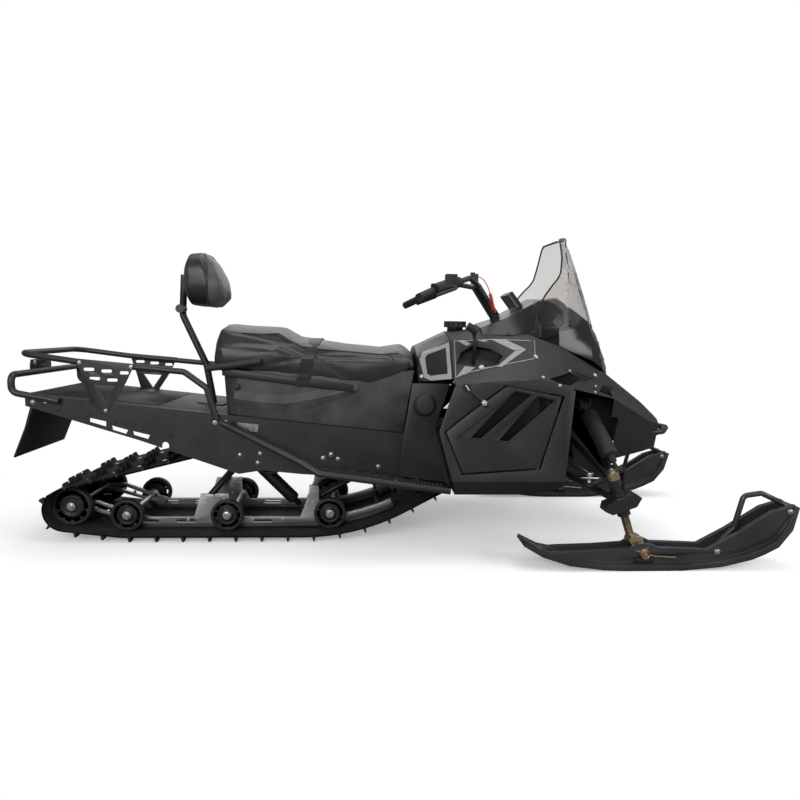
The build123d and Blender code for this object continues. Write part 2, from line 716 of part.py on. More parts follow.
def solid_loft(table):
    return loft([section_face(x, half, 0, 0) for x, half in table], ruled=True)


def steering_tube(low, high, diameter):
    """Cylinder on the steering axis between two distances from its base point."""
    axis = Vector(*STEER_AXIS)
    base = Vector(*STEER_BASE)
    return rod(tuple(base + axis * low), tuple(base + axis * high), diameter)


def lamp_pod():
    """Dark glossy nose over the hood that holds the lamps."""
    return solid_loft(POD) - solid_loft(HOOD) - solid_loft(NOSE)


def console():
    """Cowl between the tank and the lamp pod, with the gauge on top, open for the steering post."""
    cowl = solid_loft(CONSOLE) - solid_loft(HOOD)
    gauge = Pos(640, 0, 985) * Rot(0, -38, 0) * Box(26, 150, 90)
    riser_hole = steering_tube(12, 200, RISER_D + 2 * GAP)
    return cowl + gauge - steering_tube(-500, 60, POST_D + 2 * FIT) - riser_hole


def screen_section(height, edge_x, half):
    """Thin bent band across the machine at one height of the windshield."""
    share = (height - SCREEN_FOOT[1]) / (SCREEN_TOP[1] - SCREEN_FOOT[1])
    middle = SCREEN_FOOT[0] + share * (SCREEN_TOP[0] - SCREEN_FOOT[0])
    outer = [(edge_x, -half), (edge_x + 0.62 * (middle - edge_x), -0.78 * half), (middle - 12, -0.3 * half),
             (middle, 0)]
    outer += [(x, -y) for x, y in reversed(outer[:-1])]
    inner = [(x - SCREEN_T, y * (half - SCREEN_T) / half) for x, y in outer]
    corners = [(x, y, height) for x, y in outer + inner[::-1]]
    return make_face(Polyline(*corners, close=True).edges())


def windshield():
    """Clear screen, a bent sheet that wraps back round the console."""
    sheet = loft([screen_section(*row) for row in SCREEN], ruled=True)
    return sheet - solid_loft(POD) - solid_loft(CONSOLE)


# Tank cap, seat and backrest

SEAT = [
    # station x, underside z, crown z
    (-588, 690, 820),
    (-565, 684, 876),
    (-473, 668, 868),
    (-333, 655, 864),
    (-267, 650, 826),
    (-79, 643, 799),
    (69, 652, 787),
    (161, 686, 803),
    (206, 705, 767),
]
BOX_REAR = -540
BOX_FRONT = 172
BOX_TOP = (690, 700)         # height of the seat box's rim at the rear and at the front
BOX_CORNER = 90              # chamfer of its rear corners
TRIM_REAR = (-545, 702)
TRIM_FRONT = (-40, 642)
TRIM_TALL = 30
TRIM_THICK = 12
STRAP_X = (-292, -244)
STRAP_THICK = 4


def fuel_cap():
    cap = Pos(394, 0, 862) * Cylinder(34, 24) + Pos(394, 0, 886) * Cylinder(48, 26)
    for notch in PolarLocations(48, 10):
        cap -= Pos(394, 0, 886) * notch * Cylinder(5, 30)
    return cap - solid_loft(HOOD)


def seat_solid(grow):
    """Long two-up seat with a raised passenger step, each side grown by a thickness."""
    sections = []
    for x, low, high in SEAT:
        half = SEAT_HALF + grow
        step = (high - low) * 0.45
        points = [(-half, low), (-half, low + step), (-half + 40, high - 22 + grow), (-60, high + grow),
                  (60, high + grow), (half - 40, high - 22 + grow), (half, low + step), (half, low)]
        sections.append(make_face(Polyline(*[(x, y, z) for y, z in points], close=True).edges()))
    return loft(sections, ruled=True)


def seat_base():
    """Moulded seat box on the deck, with chamfered rear corners, hollowed to the seat's underside."""
    box = slab([(BOX_REAR, deck_z(BOX_REAR)), (BOX_REAR - 14, BOX_TOP[0]), (BOX_FRONT + 28, BOX_TOP[1]),
                (BOX_FRONT - 14, deck_z(BOX_FRONT - 14))], -BOX_HALF, BOX_HALF)
    edge = BOX_REAR - 40
    corner = [(edge, BOX_HALF + 1), (edge + BOX_CORNER, BOX_HALF + 1), (edge, BOX_HALF + 1 - BOX_CORNER)]
    cutter = extrude(Plane.XY * face_of(Polyline(*corner, close=True)), 2 * BOX_TOP[1])
    return box - cutter - mirrored(cutter) - seat_solid(0)


def seat_strap():
    """Grip strap over the seat, from side to side."""
    over = seat_solid(STRAP_THICK) - seat_solid(0)
    return over & block(STRAP_X, (-WIDE, WIDE), (SEAT[3][1], SEAT[3][2] + 50))


def seat_trim():
    """Side bars along the seat's lower edge."""
    low = [(x, z - TRIM_TALL) for x, z in (TRIM_FRONT, TRIM_REAR)]
    return twin(slab([TRIM_REAR, TRIM_FRONT, *low], -BOX_HALF - TRIM_THICK, -BOX_HALF))


PAD_REAR = -735
POST_TUBE = 28
POST_X = PAD_REAR - POST_TUBE / 2 - 4


def backrest_post():
    post = tube([(-640, 0, deck_z(-640) + 1), (-668, 0, 696), (POST_X - 10, 0, 905), (POST_X, 0, 1072)], POST_TUBE, 60)
    foot = slab([(-700, deck_z(-700)), (-700, deck_z(-700) + 6), (-590, deck_z(-590) + 6), (-590, deck_z(-590))],
                -45, 45)
    knob = pin(POST_X - 8, 930, -52, 0, 34)
    pad_bolt = rod((POST_X, 0, 1056), (PAD_REAR, 0, 1056), 30)
    return post + foot + knob + pad_bolt


def backrest_pad():
    """Round-cornered pad, fuller in front."""
    sections = []
    for x, wide, high, round_r in ((PAD_REAR, 190, 145, 60), (-708, 292, 220, 90),
                                (-616, 304, 230, 95), (-563, 214, 152, 70)):
        sections.append(Plane(origin=(x, 0, 1049), x_dir=(0, 1, 0), z_dir=(1, 0, 0))
                        * RectangleRounded(wide, high, round_r))
    return loft(sections, ruled=True)


def grab_handles():
    """Passenger's side grips, each on two stubs from the seat box."""
    outer = -BOX_HALF - 26
    grip = tube([(-600, outer, 700), (-537, outer, 708), (-393, outer, 730)], 26, 60)
    for x, z in ((-525, 708), (-430, 724)):
        grip += pin(x, z - 6, outer, -SEAT_HALF + 2, 14)
    return twin(grip - seat_solid(FIT))


# Rack, bumpers, flap and hitch

def rack_tubes():
    """Luggage rail round the rear deck, with its feet on the tunnel's cheeks."""
    side = TUNNEL_HALF - TUBE / 2 - FIT
    foot = TUNNEL_HALF + TUBE / 2 + FIT
    half = [(-566, -foot, 505), (-600, -foot, 625), (-690, -side, 684), (-1092, -side, 718),
            (-1310, -RACK_HALF, 746)]
    path = half + [(x, -y, z) for x, y, z in reversed(half)]
    rail = FilletPolyline(*path, radius=[20, 40, 40, 60, 60, 40, 40, 20])
    return sweep(Plane(origin=rail @ 0, z_dir=rail % 0) * Circle(TUBE / 2), rail)


def rack_plates():
    """Pierced plates between the rail and the tunnel's cheeks."""
    outline = [(-1088, 728), (-870, 712), (-905, 640), (-958, 560), (-984, 520), (-1040, 560), (-1060, 640)]
    plate = slab(outline, -TUNNEL_HALF - SHEET, -TUNNEL_HALF)
    for x, z, length in ((-1040, 690, 40), (-975, 684, 40), (-910, 678, 34), (-1020, 655, 40), (-955, 650, 40)):
        plate -= Pos(x, -TUNNEL_HALF, z) * Rot(90, 0, 0) * extrude(SlotOverall(length, 12), 10, both=True)
    plate -= slab([(-1025, 632), (-945, 628), (-985, 570)], -300, -200)
    return twin(plate)


def rear_bumper():
    """Hoop behind the deck."""
    foot = TUNNEL_HALF + EDGE_TUBE / 2 + FIT
    half = [(-1150, -foot, 568), (-1322, -foot, 600), (-1322, -foot, 666)]
    path = half + [(x, -y, z) for x, y, z in reversed(half)]
    return sweep_tube(path, EDGE_TUBE, 28)


def sweep_tube(path, diameter, bend):
    line = FilletPolyline(*path, radius=bend)
    return sweep(Plane(origin=line @ 0, z_dir=line % 0) * Circle(diameter / 2), line)


def tail_light():
    """Lamp on a short bracket behind the hoop."""
    back = -1322 - EDGE_TUBE / 2 - FIT
    return block((back - 4, back), (-40, 40), (652, 690)) + block((back - 30, back - 4), (-60, 60), (655, 712))


def mud_flap():
    """Rubber flap hung from the tunnel's rear edge, curling back."""
    rear = DECK_REAR[0]
    sheet = slab([(rear, 590), (rear - 6, 590), (rear - 14, 548), (rear - 44, 450), (rear - 92, 335),
                  (rear - 86, 332), (rear - 37, 450), (rear, 548)], -TUNNEL_HALF + 65, TUNNEL_HALF - 65)
    return sheet - block((rear - 50, rear + 5), (-HITCH_HALF - 2, HITCH_HALF + 2), (HITCH_Z - 14, HITCH_Z + 14))


def tow_hitch():
    """Tongue under the deck that ends in an eye, bored across for a drawbar pin."""
    back = DECK_REAR[0] + 8
    front = back + 52
    neck = (HITCH_Z - 10, HITCH_Z + 10)
    body = slab([(front, neck[0]), (front, deck_z(front) - SHEET), (back, deck_z(back) - SHEET), (back, neck[1]),
                 (HITCH_X, neck[1]), (HITCH_X, neck[0])], -HITCH_HALF, HITCH_HALF)
    body += pin(HITCH_X, HITCH_Z, -HITCH_HALF, HITCH_HALF, 2 * HITCH_BORE)
    return body - pin(HITCH_X, HITCH_Z, -2 * HITCH_HALF, 2 * HITCH_HALF, HITCH_BORE)


def front_bumper():
    """Hoop ahead of the nose with two lower stays."""
    loop = sweep_tube([(1190, -150, 440), (1290, -122, 443), (1366, 0, 443), (1290, 122, 443), (1190, 150, 440)],
                      EDGE_TUBE, 45)
    for side in (-1, 1):
        loop += rod((1235, side * 60, 400), (1332, side * 60, 441), 20)
    return loop - solid_loft([(x, [row[0]] + row[1:]) for x, row in NOSE])


# Front suspension and skis

def king(z):
    """Point of the right kingpin axis at a height."""
    share = (z - KING_FOOT[1]) / (KING_TOP[1] - KING_FOOT[1])
    return (KING_FOOT[0] + share * (KING_TOP[0] - KING_FOOT[0]), -SKI_Y, z)


def king_tube(low, high, diameter):
    return rod(king(low), king(high), diameter)


ARM_TUBE = 22
FORGING = 144                # length of the lower arm's outer forging, round the kingpin
FRAME_HALF = 150
SHOCK_FOOT = (968, -430, 345)
SHOCK_TOP = (909, -200, 561)
EYE_HALF = 16


def front_arms():
    """Upper and lower wishbones, each with a bearing that the spindle turns in."""
    low_hub = king(235)
    high_hub = king(312)
    axis = Vector(*king(262)) - Vector(*king(208))
    forging = slab([(-FORGING / 2, -4), (-FORGING / 2 + 22, -24), (FORGING / 2 - 28, -24), (FORGING / 2, 2),
                    (FORGING / 2 - 16, 24), (-FORGING / 2 + 14, 20)], -30, 30)
    arm = king_tube(208, 262, 54)
    arm += Plane(origin=low_hub, x_dir=(-axis.Z, 0, axis.X), z_dir=axis.normalized()) * (Rot(0, 0, 180) * forging)
    inner_low = low_hub[1] + 24
    for x, z in ((782, 305), (1030, 305)):
        arm += rod((low_hub[0], inner_low, 235), (x, -FRAME_HALF, z), ARM_TUBE + 4)
    upper = king_tube(300, 324, 46)
    for x in (850, 972):
        upper += rod((high_hub[0], high_hub[1] + 20, 312), (x, -FRAME_HALF, 440), ARM_TUBE)
    foot_x, foot_y, foot_z = SHOCK_FOOT
    for side in (-1, 1):
        x_low, x_high = sorted((foot_x + side * EYE_HALF, foot_x + side * (EYE_HALF + 6)))
        arm += block((x_low, x_high), (foot_y - 18, foot_y + 18), (236, foot_z + 18))
    arm += block((foot_x - 40, foot_x + EYE_HALF + 6), (foot_y - 18, foot_y + 18), (236, 254))
    shape = arm + upper
    shape -= king_tube(150, 400, SPINDLE_D + 2 * FIT)
    return twin(shape)


def front_shocks():
    damper = shock(SHOCK_TOP, SHOCK_FOOT, 66, 34, 14, 2 * (EYE_HALF - FIT), (1, 0, 0))
    return twin(damper)


def bulkhead():
    """Frame ahead of the engine that carries the arms, the dampers and the steering post."""
    wall = 6
    rear = 765
    half = FRAME_HALF
    frame = block((rear, 1060), (-half, half), (285, 590))
    frame -= block((rear + wall, 1060 - wall), (-half + wall, half - wall), (200, 590 - wall))
    frame -= slab([(790, 310), (900, 310), (880, 400), (790, 380)], -200, 200)
    for y in (-GUIDE_Y, GUIDE_Y):
        guide = block((rear + wall, LINK[0] + 20), (y - 6, y + 6), (LINK[1] - 20, LINK[1] + 20))
        frame += guide - pin(LINK[0], LINK[1], -half, half, LINK_D + 2 * FIT)
    for side in (-1, 1):
        y_low, y_high = sorted((side * 100, side * half))
        frame += block((DRIVE_X + NOSE_R, 1060), (y_low, y_high), (245, 285))
        y_low, y_high = sorted((side * half, side * (-SHOCK_TOP[1] + 20)))
        for ear in (-1, 1):
            x_low, x_high = sorted((SHOCK_TOP[0] + ear * EYE_HALF, SHOCK_TOP[0] + ear * (EYE_HALF + 6)))
            frame += block((x_low, x_high), (y_low, y_high), (SHOCK_TOP[2] - 20, SHOCK_TOP[2] + 28))
    return frame


def engine():
    """Stands in for the closed power unit at its real size, on the frame's rails."""
    return block((480, 730), (-180, 180), (285, 600))


def steering_post():
    return steering_tube(-380, 14, POST_D) & block((0, 793), (-100, 100), (590, 1000))


BALL = (852, -450, 296)
ROD_D = 16


def spindle():
    """Kingpin with its steering arm above and the ski saddle below."""
    pillar = king_tube(72, 352, SPINDLE_D)
    pillar += king_tube(190, 207, 48)
    pillar += king_tube(263, 276, 44)
    pillar += king_tube(325, 352, 46)
    top = king(338)
    arm = rod((top[0], top[1], 332), (BALL[0], BALL[1], BALL[2] - 4), 18)
    arm += Pos(*BALL) * Cylinder(15, 16)
    pillar += arm - king_tube(290, 324.6, 60)
    saddle_y = (-SKI_Y - 24, -SKI_Y + 24)
    saddle = slab([(990, 95), (1000, 120), (1040, 110), (1058, 62), (1052, 40), (1028, 40), (1018, 60)], *saddle_y)
    pillar += saddle
    pillar -= pin(SKI_PIVOT[0], SKI_PIVOT[1], -SKI_Y - 60, -SKI_Y + 60, 16 + 2 * FIT)
    return pillar


SKI_RAIL = [(664, 56), (735, 62), (870, 66), (985, 74), (1015, 92), (1065, 92), (1095, 78), (1281, 70), (1388, 129),
            (1520, 214), (1606, 240), (1612, 190), (1575, 130), (1520, 86), (1425, 48), (1310, 22), (1173, 10),
            (878, 12), (752, 30)]


def ski():
    """Plastic ski with a turned-up tip, keel, saddle cheeks, pivot bolt and a hoop handle."""
    bottom = [(657, 48), (752, 20), (878, 4), (960, 0), (1173, 0), (1323, 13), (1433, 39), (1543, 83), (1597, 143),
              (1632, 226)]
    top = [(1606, 236), (1572, 158), (1528, 104), (1425, 60), (1318, 32), (1173, 18), (878, 22), (760, 38),
           (664, 62), (592, 100), (586, 88)]
    outline = bottom + top
    blade = slab(outline, -SKI_Y - SKI_WIDTH / 2, -SKI_Y + SKI_WIDTH / 2)
    tip = extrude(Plane.XY * face_of(Polyline((500, -SKI_Y - 45), (760, -SKI_Y - 75), (1480, -SKI_Y - 75),
                                              (1600, -SKI_Y - 55), (1650, -SKI_Y - 25), (1650, -SKI_Y + 25),
                                              (1600, -SKI_Y + 55), (1480, -SKI_Y + 75), (760, -SKI_Y + 75),
                                              (500, -SKI_Y + 45), close=True)), 300)
    blade &= tip
    for side in (-1, 1):
        y_low, y_high = sorted((-SKI_Y + side * 44, -SKI_Y + side * 26))
        blade += slab(SKI_RAIL, y_low, y_high) & tip
    blade += pin(SKI_PIVOT[0], SKI_PIVOT[1], -SKI_Y - 52, -SKI_Y + 52, 16)
    handle = sweep_tube([(1310, -SKI_Y, 40), (1402, -SKI_Y, 136), (1432, -SKI_Y, 262), (1500, -SKI_Y, 272),
                         (1612, -SKI_Y, 222)], 20, 22)
    return blade + handle


LINK = (835, 335)
LINK_D = 20
GUIDE_Y = 36


def tie_rods():
    """Both track rods with the link that joins them."""
    y = 100
    eye_z = BALL[2] + 28
    link = pin(LINK[0], LINK[1], -y, y, LINK_D)
    for side in (-1, 1):
        link += rod((LINK[0], side * y, LINK[1]), (BALL[0], -side * BALL[1] + 0, eye_z + 8), ROD_D)
        link += Pos(BALL[0], -side * BALL[1], eye_z + 8) * Cylinder(13, 16)
    return link


# Handlebar

def handlebar():
    """Riser on the steering axis with a swept bar and two grips."""
    riser = steering_tube(14 + FIT, 172, RISER_D)
    bar = sweep_tube([(201, -380, 977), (266, -290, 1009), (422, -180, 1070), (478, -60, 1050), (478, 60, 1050),
                      (422, 180, 1070), (266, 290, 1009), (201, 380, 977)], BAR_D, 30)
    return riser + bar


RESERVOIR_TOP = 1076


def hand_grips():
    """Rubber grips, switch blocks, brake reservoir and levers."""
    grip = rod((201, -380, 977), (258, -301, 1005), GRIP_D)
    housing = rod((271.4, -286.2, 1011.1), (330, -245, 1034), 52)
    lever = sweep_tube([(330, -262, 1032), (352, -330, 1020), (262, -400, 985)], 12, 30)
    switch = rod((330, -245, 1034), (374, -214, 1051), 42)
    reservoir = block((314, 358), (-276, -232), (1030, RESERVOIR_TOP))
    controls = housing + switch + reservoir + lever - rod((266, -290, 1009), (422, -180, 1070), BAR_D + 2 * FIT)
    grip -= rod((190, -395, 971.6), (266, -290, 1009), BAR_D + 2 * FIT)
    return Compound(children=[grip, mirrored(grip), controls, mirrored(controls)])


CORD_D = 5
COIL_D = 17
CORD_ROUTE = [
    # from the stop switch's front face, down in front of the bar, to the clip on the riser
    (462, -90, 1086), (484, -96, 1081), (504, -104, 1058), (518, -110, 1024), (528, -112, 986), (536, -108, 951),
    (548, -90, 933), (557, -64, 940), (552, -42, 958), (542, -25, 967),
]
COIL_FROM = 3                # route points between which the cord is curled
COIL_TO = 5


def cord_radii(route):
    """Bend radius at each inner point: as large as its two runs allow."""
    radii = []
    for before, point, after in zip(route, route[1:], route[2:]):
        run_in = Vector(*point) - Vector(*before)
        run_out = Vector(*after) - Vector(*point)
        turn = math.radians(run_in.get_angle(run_out))
        radii.append(0.45 * min(run_in.length, run_out.length) / math.tan(turn / 2))
    return radii


def cord_tube(route, diameter):
    radii = cord_radii(route)
    path = FilletPolyline(*route, radius=radii)
    print("cord radii", [round(radius) for radius in radii], "length", round(path.length))
    return sweep(Plane(origin=path @ 0, z_dir=path % 0) * Circle(diameter / 2), path)


def stop_switch():
    """Button box of the stop lanyard on the bar, and the clip for the lanyard's far end on the riser."""
    x, y, z = CORD_ROUTE[0]
    body = rod((x - 4, y, z - 34), (x - 4, y, z + 8), 30) + rod((x - 4, y, z), (x, y, z), 10)
    body += block((x - 22, x - 4), (y - 9, y + 9), (z - 8, z + 14))
    body -= rod((478, -60, 1050), (422, -180, 1070), BAR_D)
    end = Vector(*CORD_ROUTE[-1])
    toward = (Vector(*CORD_ROUTE[-2]) - end).normalized()
    clip = rod(tuple(end - toward * 14), tuple(end), 12)
    return body, clip - steering_tube(0, 200, RISER_D)


def stop_lanyard():
    """Red cord, curled between two points of its route."""
    thin = cord_tube(CORD_ROUTE, CORD_D)
    return thin + cord_tube(CORD_ROUTE[COIL_FROM:COIL_TO + 1], COIL_D)


def door_latch():
    """Rubber strap that holds the door at its upper rear corner."""
    thick = 14
    reach = thick / 2 + GAP
    strap = rod((396, -side_y(640) - reach, 640), (458, -side_y(584) - reach, 584), thick)
    return strap + pin(458, 584, -side_y(584) - reach, -side_y(584) + 2, thick)


nodes = {
    "tunnel": tunnel(), "running_boards": running_boards(), "belly_shell": belly_shell(), "knee_cover": knee_cover(),
    "hood": hood() - steering_tube(-380, 60, POST_D + 2 * FIT), "nose_cone": nose_cone(), "bulkhead": bulkhead(),
    "engine": engine(), "lamp_pod": lamp_pod(), "windshield": windshield(), "console": console(),
    "tank_cover": tank_cover(), "fuel_cap": fuel_cap(), "seat": seat_solid(0), "seat_base": seat_base(),
    "seat_strap": seat_strap(), "seat_trim": seat_trim(), "rack_tubes": rack_tubes(), "rack_plates": rack_plates(),
    "tail_light": tail_light(), "rear_bumper": rear_bumper(), "mud_flap": mud_flap(), "tow_hitch": tow_hitch(),
    "backrest_post": backrest_post(), "backrest_pad": backrest_pad(), "grab_handles": grab_handles(),
    "slide_rails": slide_rails(), "slide_shoes": slide_shoes(), "rail_arms": rail_arms(), "rail_shocks": rail_shocks(),
    "wheel_axles": wheel_axles(), "idler_wheels": idler_wheels(), "rail_wheels": rail_wheels(),
    "carrier_wheels": carrier_wheels(), "drive_axle": drive_axle(), "track": track(), "front_bumper": front_bumper(),
    "front_arms": front_arms(), "front_shocks": front_shocks(), "steering_post": steering_post(),
    "handlebar": handlebar(), "hand_grips": hand_grips(), "tie_rods": tie_rods(),
    "spindle_right": spindle(), "spindle_left": mirrored(spindle()), "ski_right": ski(), "ski_left": mirrored(ski()),
    "door_right": door(), "door_left": mirrored(door()),
    "latch_right": door_latch(), "latch_left": mirrored(door_latch()), "gear_lever": gear_lever(),
    "stop_switch": Compound(children=list(stop_switch())), "stop_lanyard": stop_lanyard(),
}

# Each piece is trimmed to the face of the neighbour that it sits on.
SEATED = [
    # piece, the neighbour that cuts it
    ("knee_cover", "belly_shell"), ("running_boards", "belly_shell"),
    ("front_arms", "bulkhead"), ("grab_handles", "seat_trim"), ("lamp_pod", "nose_cone"),
    ("latch_right", "door_right"), ("latch_left", "door_left"), ("seat_strap", "seat_base"),
    ("tow_hitch", "tunnel"), ("backrest_post", "tunnel"), ("hood", "lamp_pod"), ("stop_switch", "handlebar"),
    ("stop_lanyard", "stop_switch"),
]
for piece, neighbour in SEATED:
    nodes[piece] = nodes[piece] - nodes[neighbour]

boxes = [shape.bounding_box() for shape in nodes.values()]
rear_end = min(box.min.X for box in boxes)
front_end = max(box.max.X for box in boxes)
ground = min(box.min.Z for box in boxes)
shift = Pos(-(rear_end + front_end) / 2, 0, -ground)
print("footprint", rear_end, front_end, ground, max(box.max.Y for box in boxes), max(box.max.Z for box in boxes))
for name, shape in nodes.items():
    export_step(shift * shape, f"parts/{name}.step")
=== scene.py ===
# %% [markdown]
# A long-track utility snowmobile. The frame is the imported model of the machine, in metres, with X to the nose,
# Y to the rider's left and Z up. Each cell adds one piece or one finish over that frame and moves nothing in it.

# %% The frame
import json
import math

import bmesh
import bpy
from mathutils import Matrix, Vector
from mathutils.bvhtree import BVHTree


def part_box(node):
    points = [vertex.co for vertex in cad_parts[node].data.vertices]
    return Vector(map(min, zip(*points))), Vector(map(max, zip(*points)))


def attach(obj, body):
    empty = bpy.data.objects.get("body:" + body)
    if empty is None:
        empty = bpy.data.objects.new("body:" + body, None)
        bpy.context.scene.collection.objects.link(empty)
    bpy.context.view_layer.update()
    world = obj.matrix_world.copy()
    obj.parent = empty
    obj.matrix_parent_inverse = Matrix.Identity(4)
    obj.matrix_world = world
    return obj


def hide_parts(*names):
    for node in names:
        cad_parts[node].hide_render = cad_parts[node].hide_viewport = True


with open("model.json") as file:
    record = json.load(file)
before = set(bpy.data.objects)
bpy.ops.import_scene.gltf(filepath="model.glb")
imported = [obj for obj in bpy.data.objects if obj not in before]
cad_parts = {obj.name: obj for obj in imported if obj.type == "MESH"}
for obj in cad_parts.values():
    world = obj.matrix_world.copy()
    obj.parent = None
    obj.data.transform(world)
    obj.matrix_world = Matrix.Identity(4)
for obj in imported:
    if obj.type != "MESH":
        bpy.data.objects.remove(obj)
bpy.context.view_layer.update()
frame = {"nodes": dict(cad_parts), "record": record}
MM = 0.001
DATUM = Vector((-129.0, 0.0, 0.0))   # from the datum of the side measurements to the row's origin, in mm
SIDES = ((-1, "right"), (1, "left"))
print("frame with", len(frame["nodes"]), "nodes")


def at(x, y, z):
    """Point given in mm from the side measurements' datum, as metres in the row's frame."""
    return (Vector((x, y, z)) + DATUM) * MM


def in_mm(place):
    """Place in metres in the row's frame, as mm from the side measurements' datum."""
    return place / MM - DATUM


def linked(name, data):
    """New object with some data, linked to the scene."""
    thing = bpy.data.objects.new(name, data)
    bpy.context.scene.collection.objects.link(thing)
    return thing


# %% [markdown]
# The camera stands at the machine's right side, a little ahead of the foot boards, at about a rider's hip. Its
# place, lens and roll come from fitting pairs of near and far points, such as the rail wheels and the two skis.

# %% Camera
CAMERA_FOOT = (0.0, -2630.0, 865.0)
FOCAL_PIXELS = 606.0
FRAME_PIXELS = 800.0
YAW = math.radians(3.5)
PITCH = math.radians(6.75)
ROLL = math.radians(1.0)
SENSOR = 36.0


def camera_turn():
    """Camera axes as a matrix: level view along +Y, turned, tipped down and rolled."""
    ahead = Vector((math.sin(YAW) * math.cos(PITCH), math.cos(YAW) * math.cos(PITCH), -math.sin(PITCH)))
    level = Vector((math.cos(YAW), -math.sin(YAW), 0.0))
    up = level.cross(ahead)
    right = level * math.cos(ROLL) + up * math.sin(ROLL)
    top = up * math.cos(ROLL) - level * math.sin(ROLL)
    return Matrix((right, top, -ahead)).transposed().to_4x4()


side_lens = bpy.data.cameras.new("side_camera")
side_lens.lens = FOCAL_PIXELS * SENSOR / FRAME_PIXELS
side_lens.sensor_width = SENSOR
camera = linked("side_camera", side_lens)
camera.matrix_world = Matrix.Translation(at(*CAMERA_FOOT)) @ camera_turn()
bpy.context.scene.camera = camera
print("camera at", [round(v, 3) for v in camera.location])

# %% [markdown]
# The studio is a white sweep. The camera, also through the clear sheet, sees plain white. The world could light the
# machine with that white too, but then black satin covers turn pale, so its light is a weaker one of its own.

# %% White room


def linear(text):
    """An sRGB hex colour as linear RGBA."""
    parts = [int(text[i:i + 2], 16) / 255 for i in (1, 3, 5)]
    return [p / 12.92 if p <= 0.04045 else ((p + 0.055) / 1.055) ** 2.4 for p in parts] + [1.0]


def add(tree, kind, settings=(), values=(), links=()):
    """Adds a node with its settings, socket values and incoming links."""
    node = tree.nodes.new(kind)
    for name, value in dict(settings).items():
        setattr(node, name, value)
    for name, value in dict(values).items():
        node.inputs[name].default_value = value
    for name, source in dict(links).items():
        tree.links.new(source, node.inputs[name])
    return node


def mixed_by_eye(tree, unseen, seen):
    """One shader for the light that reaches the machine, and another for the camera and what clear sheets show."""
    rays = add(tree, "ShaderNodeLightPath")
    eye = add(tree, "ShaderNodeMath", {"operation": "MAXIMUM"}, {},
              {0: rays.outputs["Is Camera Ray"], 1: rays.outputs["Is Transmission Ray"]})
    return add(tree, "ShaderNodeMixShader", {}, {}, {0: eye.outputs[0], 1: unseen.outputs[0], 2: seen.outputs[0]})


def studio_world():
    world = bpy.data.worlds.new("white_studio")
    world.use_nodes = True
    tree = world.node_tree
    tree.nodes.clear()
    light = add(tree, "ShaderNodeBackground", {}, {"Color": linear("#F4F6F8"), "Strength": 0.3})
    white = add(tree, "ShaderNodeBackground", {}, {"Color": linear("#FFFFFF"), "Strength": 1.0})
    room = mixed_by_eye(tree, light, white)
    add(tree, "ShaderNodeOutputWorld", {}, {}, {"Surface": room.outputs[0]})
    bpy.context.scene.world = world


studio_world()
bpy.context.scene.view_settings.view_transform = "Standard"
print("world:", bpy.context.scene.world.name)

# %% [markdown]
# The floor is painted white and keeps the machine's shadow. Further out it fades into the white room, because a
# horizon would show otherwise. What it throws back up at the machine is grey, as a real sweep's light falls off.

# %% Studio floor
FLOOR_HALF = 30.0            # half its side in metres
FLOOR_DROP = 0.0005          # metres under the track, so that nothing flickers in it
FADE = (0.75, 1.5)           # metres from the middle, where the fade to white starts and ends


def floor_material():
    material = bpy.data.materials.new("painted_floor")
    material.use_nodes = True
    tree = material.node_tree
    tree.nodes.clear()
    paint = add(tree, "ShaderNodeBsdfDiffuse", {}, {"Color": linear("#F4F4F4")})
    glow = add(tree, "ShaderNodeEmission", {}, {"Color": linear("#FFFFFF"), "Strength": 0.3})
    lit = add(tree, "ShaderNodeAddShader", {}, {}, {0: paint.outputs[0], 1: glow.outputs[0]})
    white = add(tree, "ShaderNodeEmission", {}, {"Color": linear("#FFFFFF"), "Strength": 1.0})
    place = add(tree, "ShaderNodeTexCoord")
    squash = add(tree, "ShaderNodeMapping", {}, {"Scale": (0.6, 1.0, 1.0)}, {"Vector": place.outputs["Object"]})
    reach = add(tree, "ShaderNodeVectorMath", {"operation": "LENGTH"}, {}, {0: squash.outputs[0]})
    fade = add(tree, "ShaderNodeMapRange", {"interpolation_type": "SMOOTHSTEP"},
               {"From Min": FADE[0], "From Max": FADE[1]}, {"Value": reach.outputs["Value"]})
    seen = add(tree, "ShaderNodeMixShader", {}, {}, {0: fade.outputs[0], 1: lit.outputs[0], 2: white.outputs[0]})
    bounce = add(tree, "ShaderNodeBsdfDiffuse", {}, {"Color": linear("#8E8E8E")})
    sweep = mixed_by_eye(tree, bounce, seen)
    add(tree, "ShaderNodeOutputMaterial", {}, {}, {"Surface": sweep.outputs[0]})
    return material


def mesh_of(name, bm):
    """Mesh of a finished bmesh, which is freed."""
    mesh = bpy.data.meshes.new(name)
    bm.to_mesh(mesh)
    bm.free()
    return mesh


def studio_floor():
    bm = bmesh.new()
    bmesh.ops.create_grid(bm, x_segments=1, y_segments=1, size=FLOOR_HALF)
    floor = linked("studio_floor", mesh_of("studio_floor", bm))
    floor.location.z = -FLOOR_DROP
    floor.data.materials.append(floor_material())


studio_floor()
print("floor:", 2 * FLOOR_HALF, "m square")

# %% [markdown]
# Four soft panels light the machine at a plain level. The one at the photographed side is the strongest, the one at
# the nose shapes the covers, and the far one is weak, because the tops would turn grey in its grazing light.

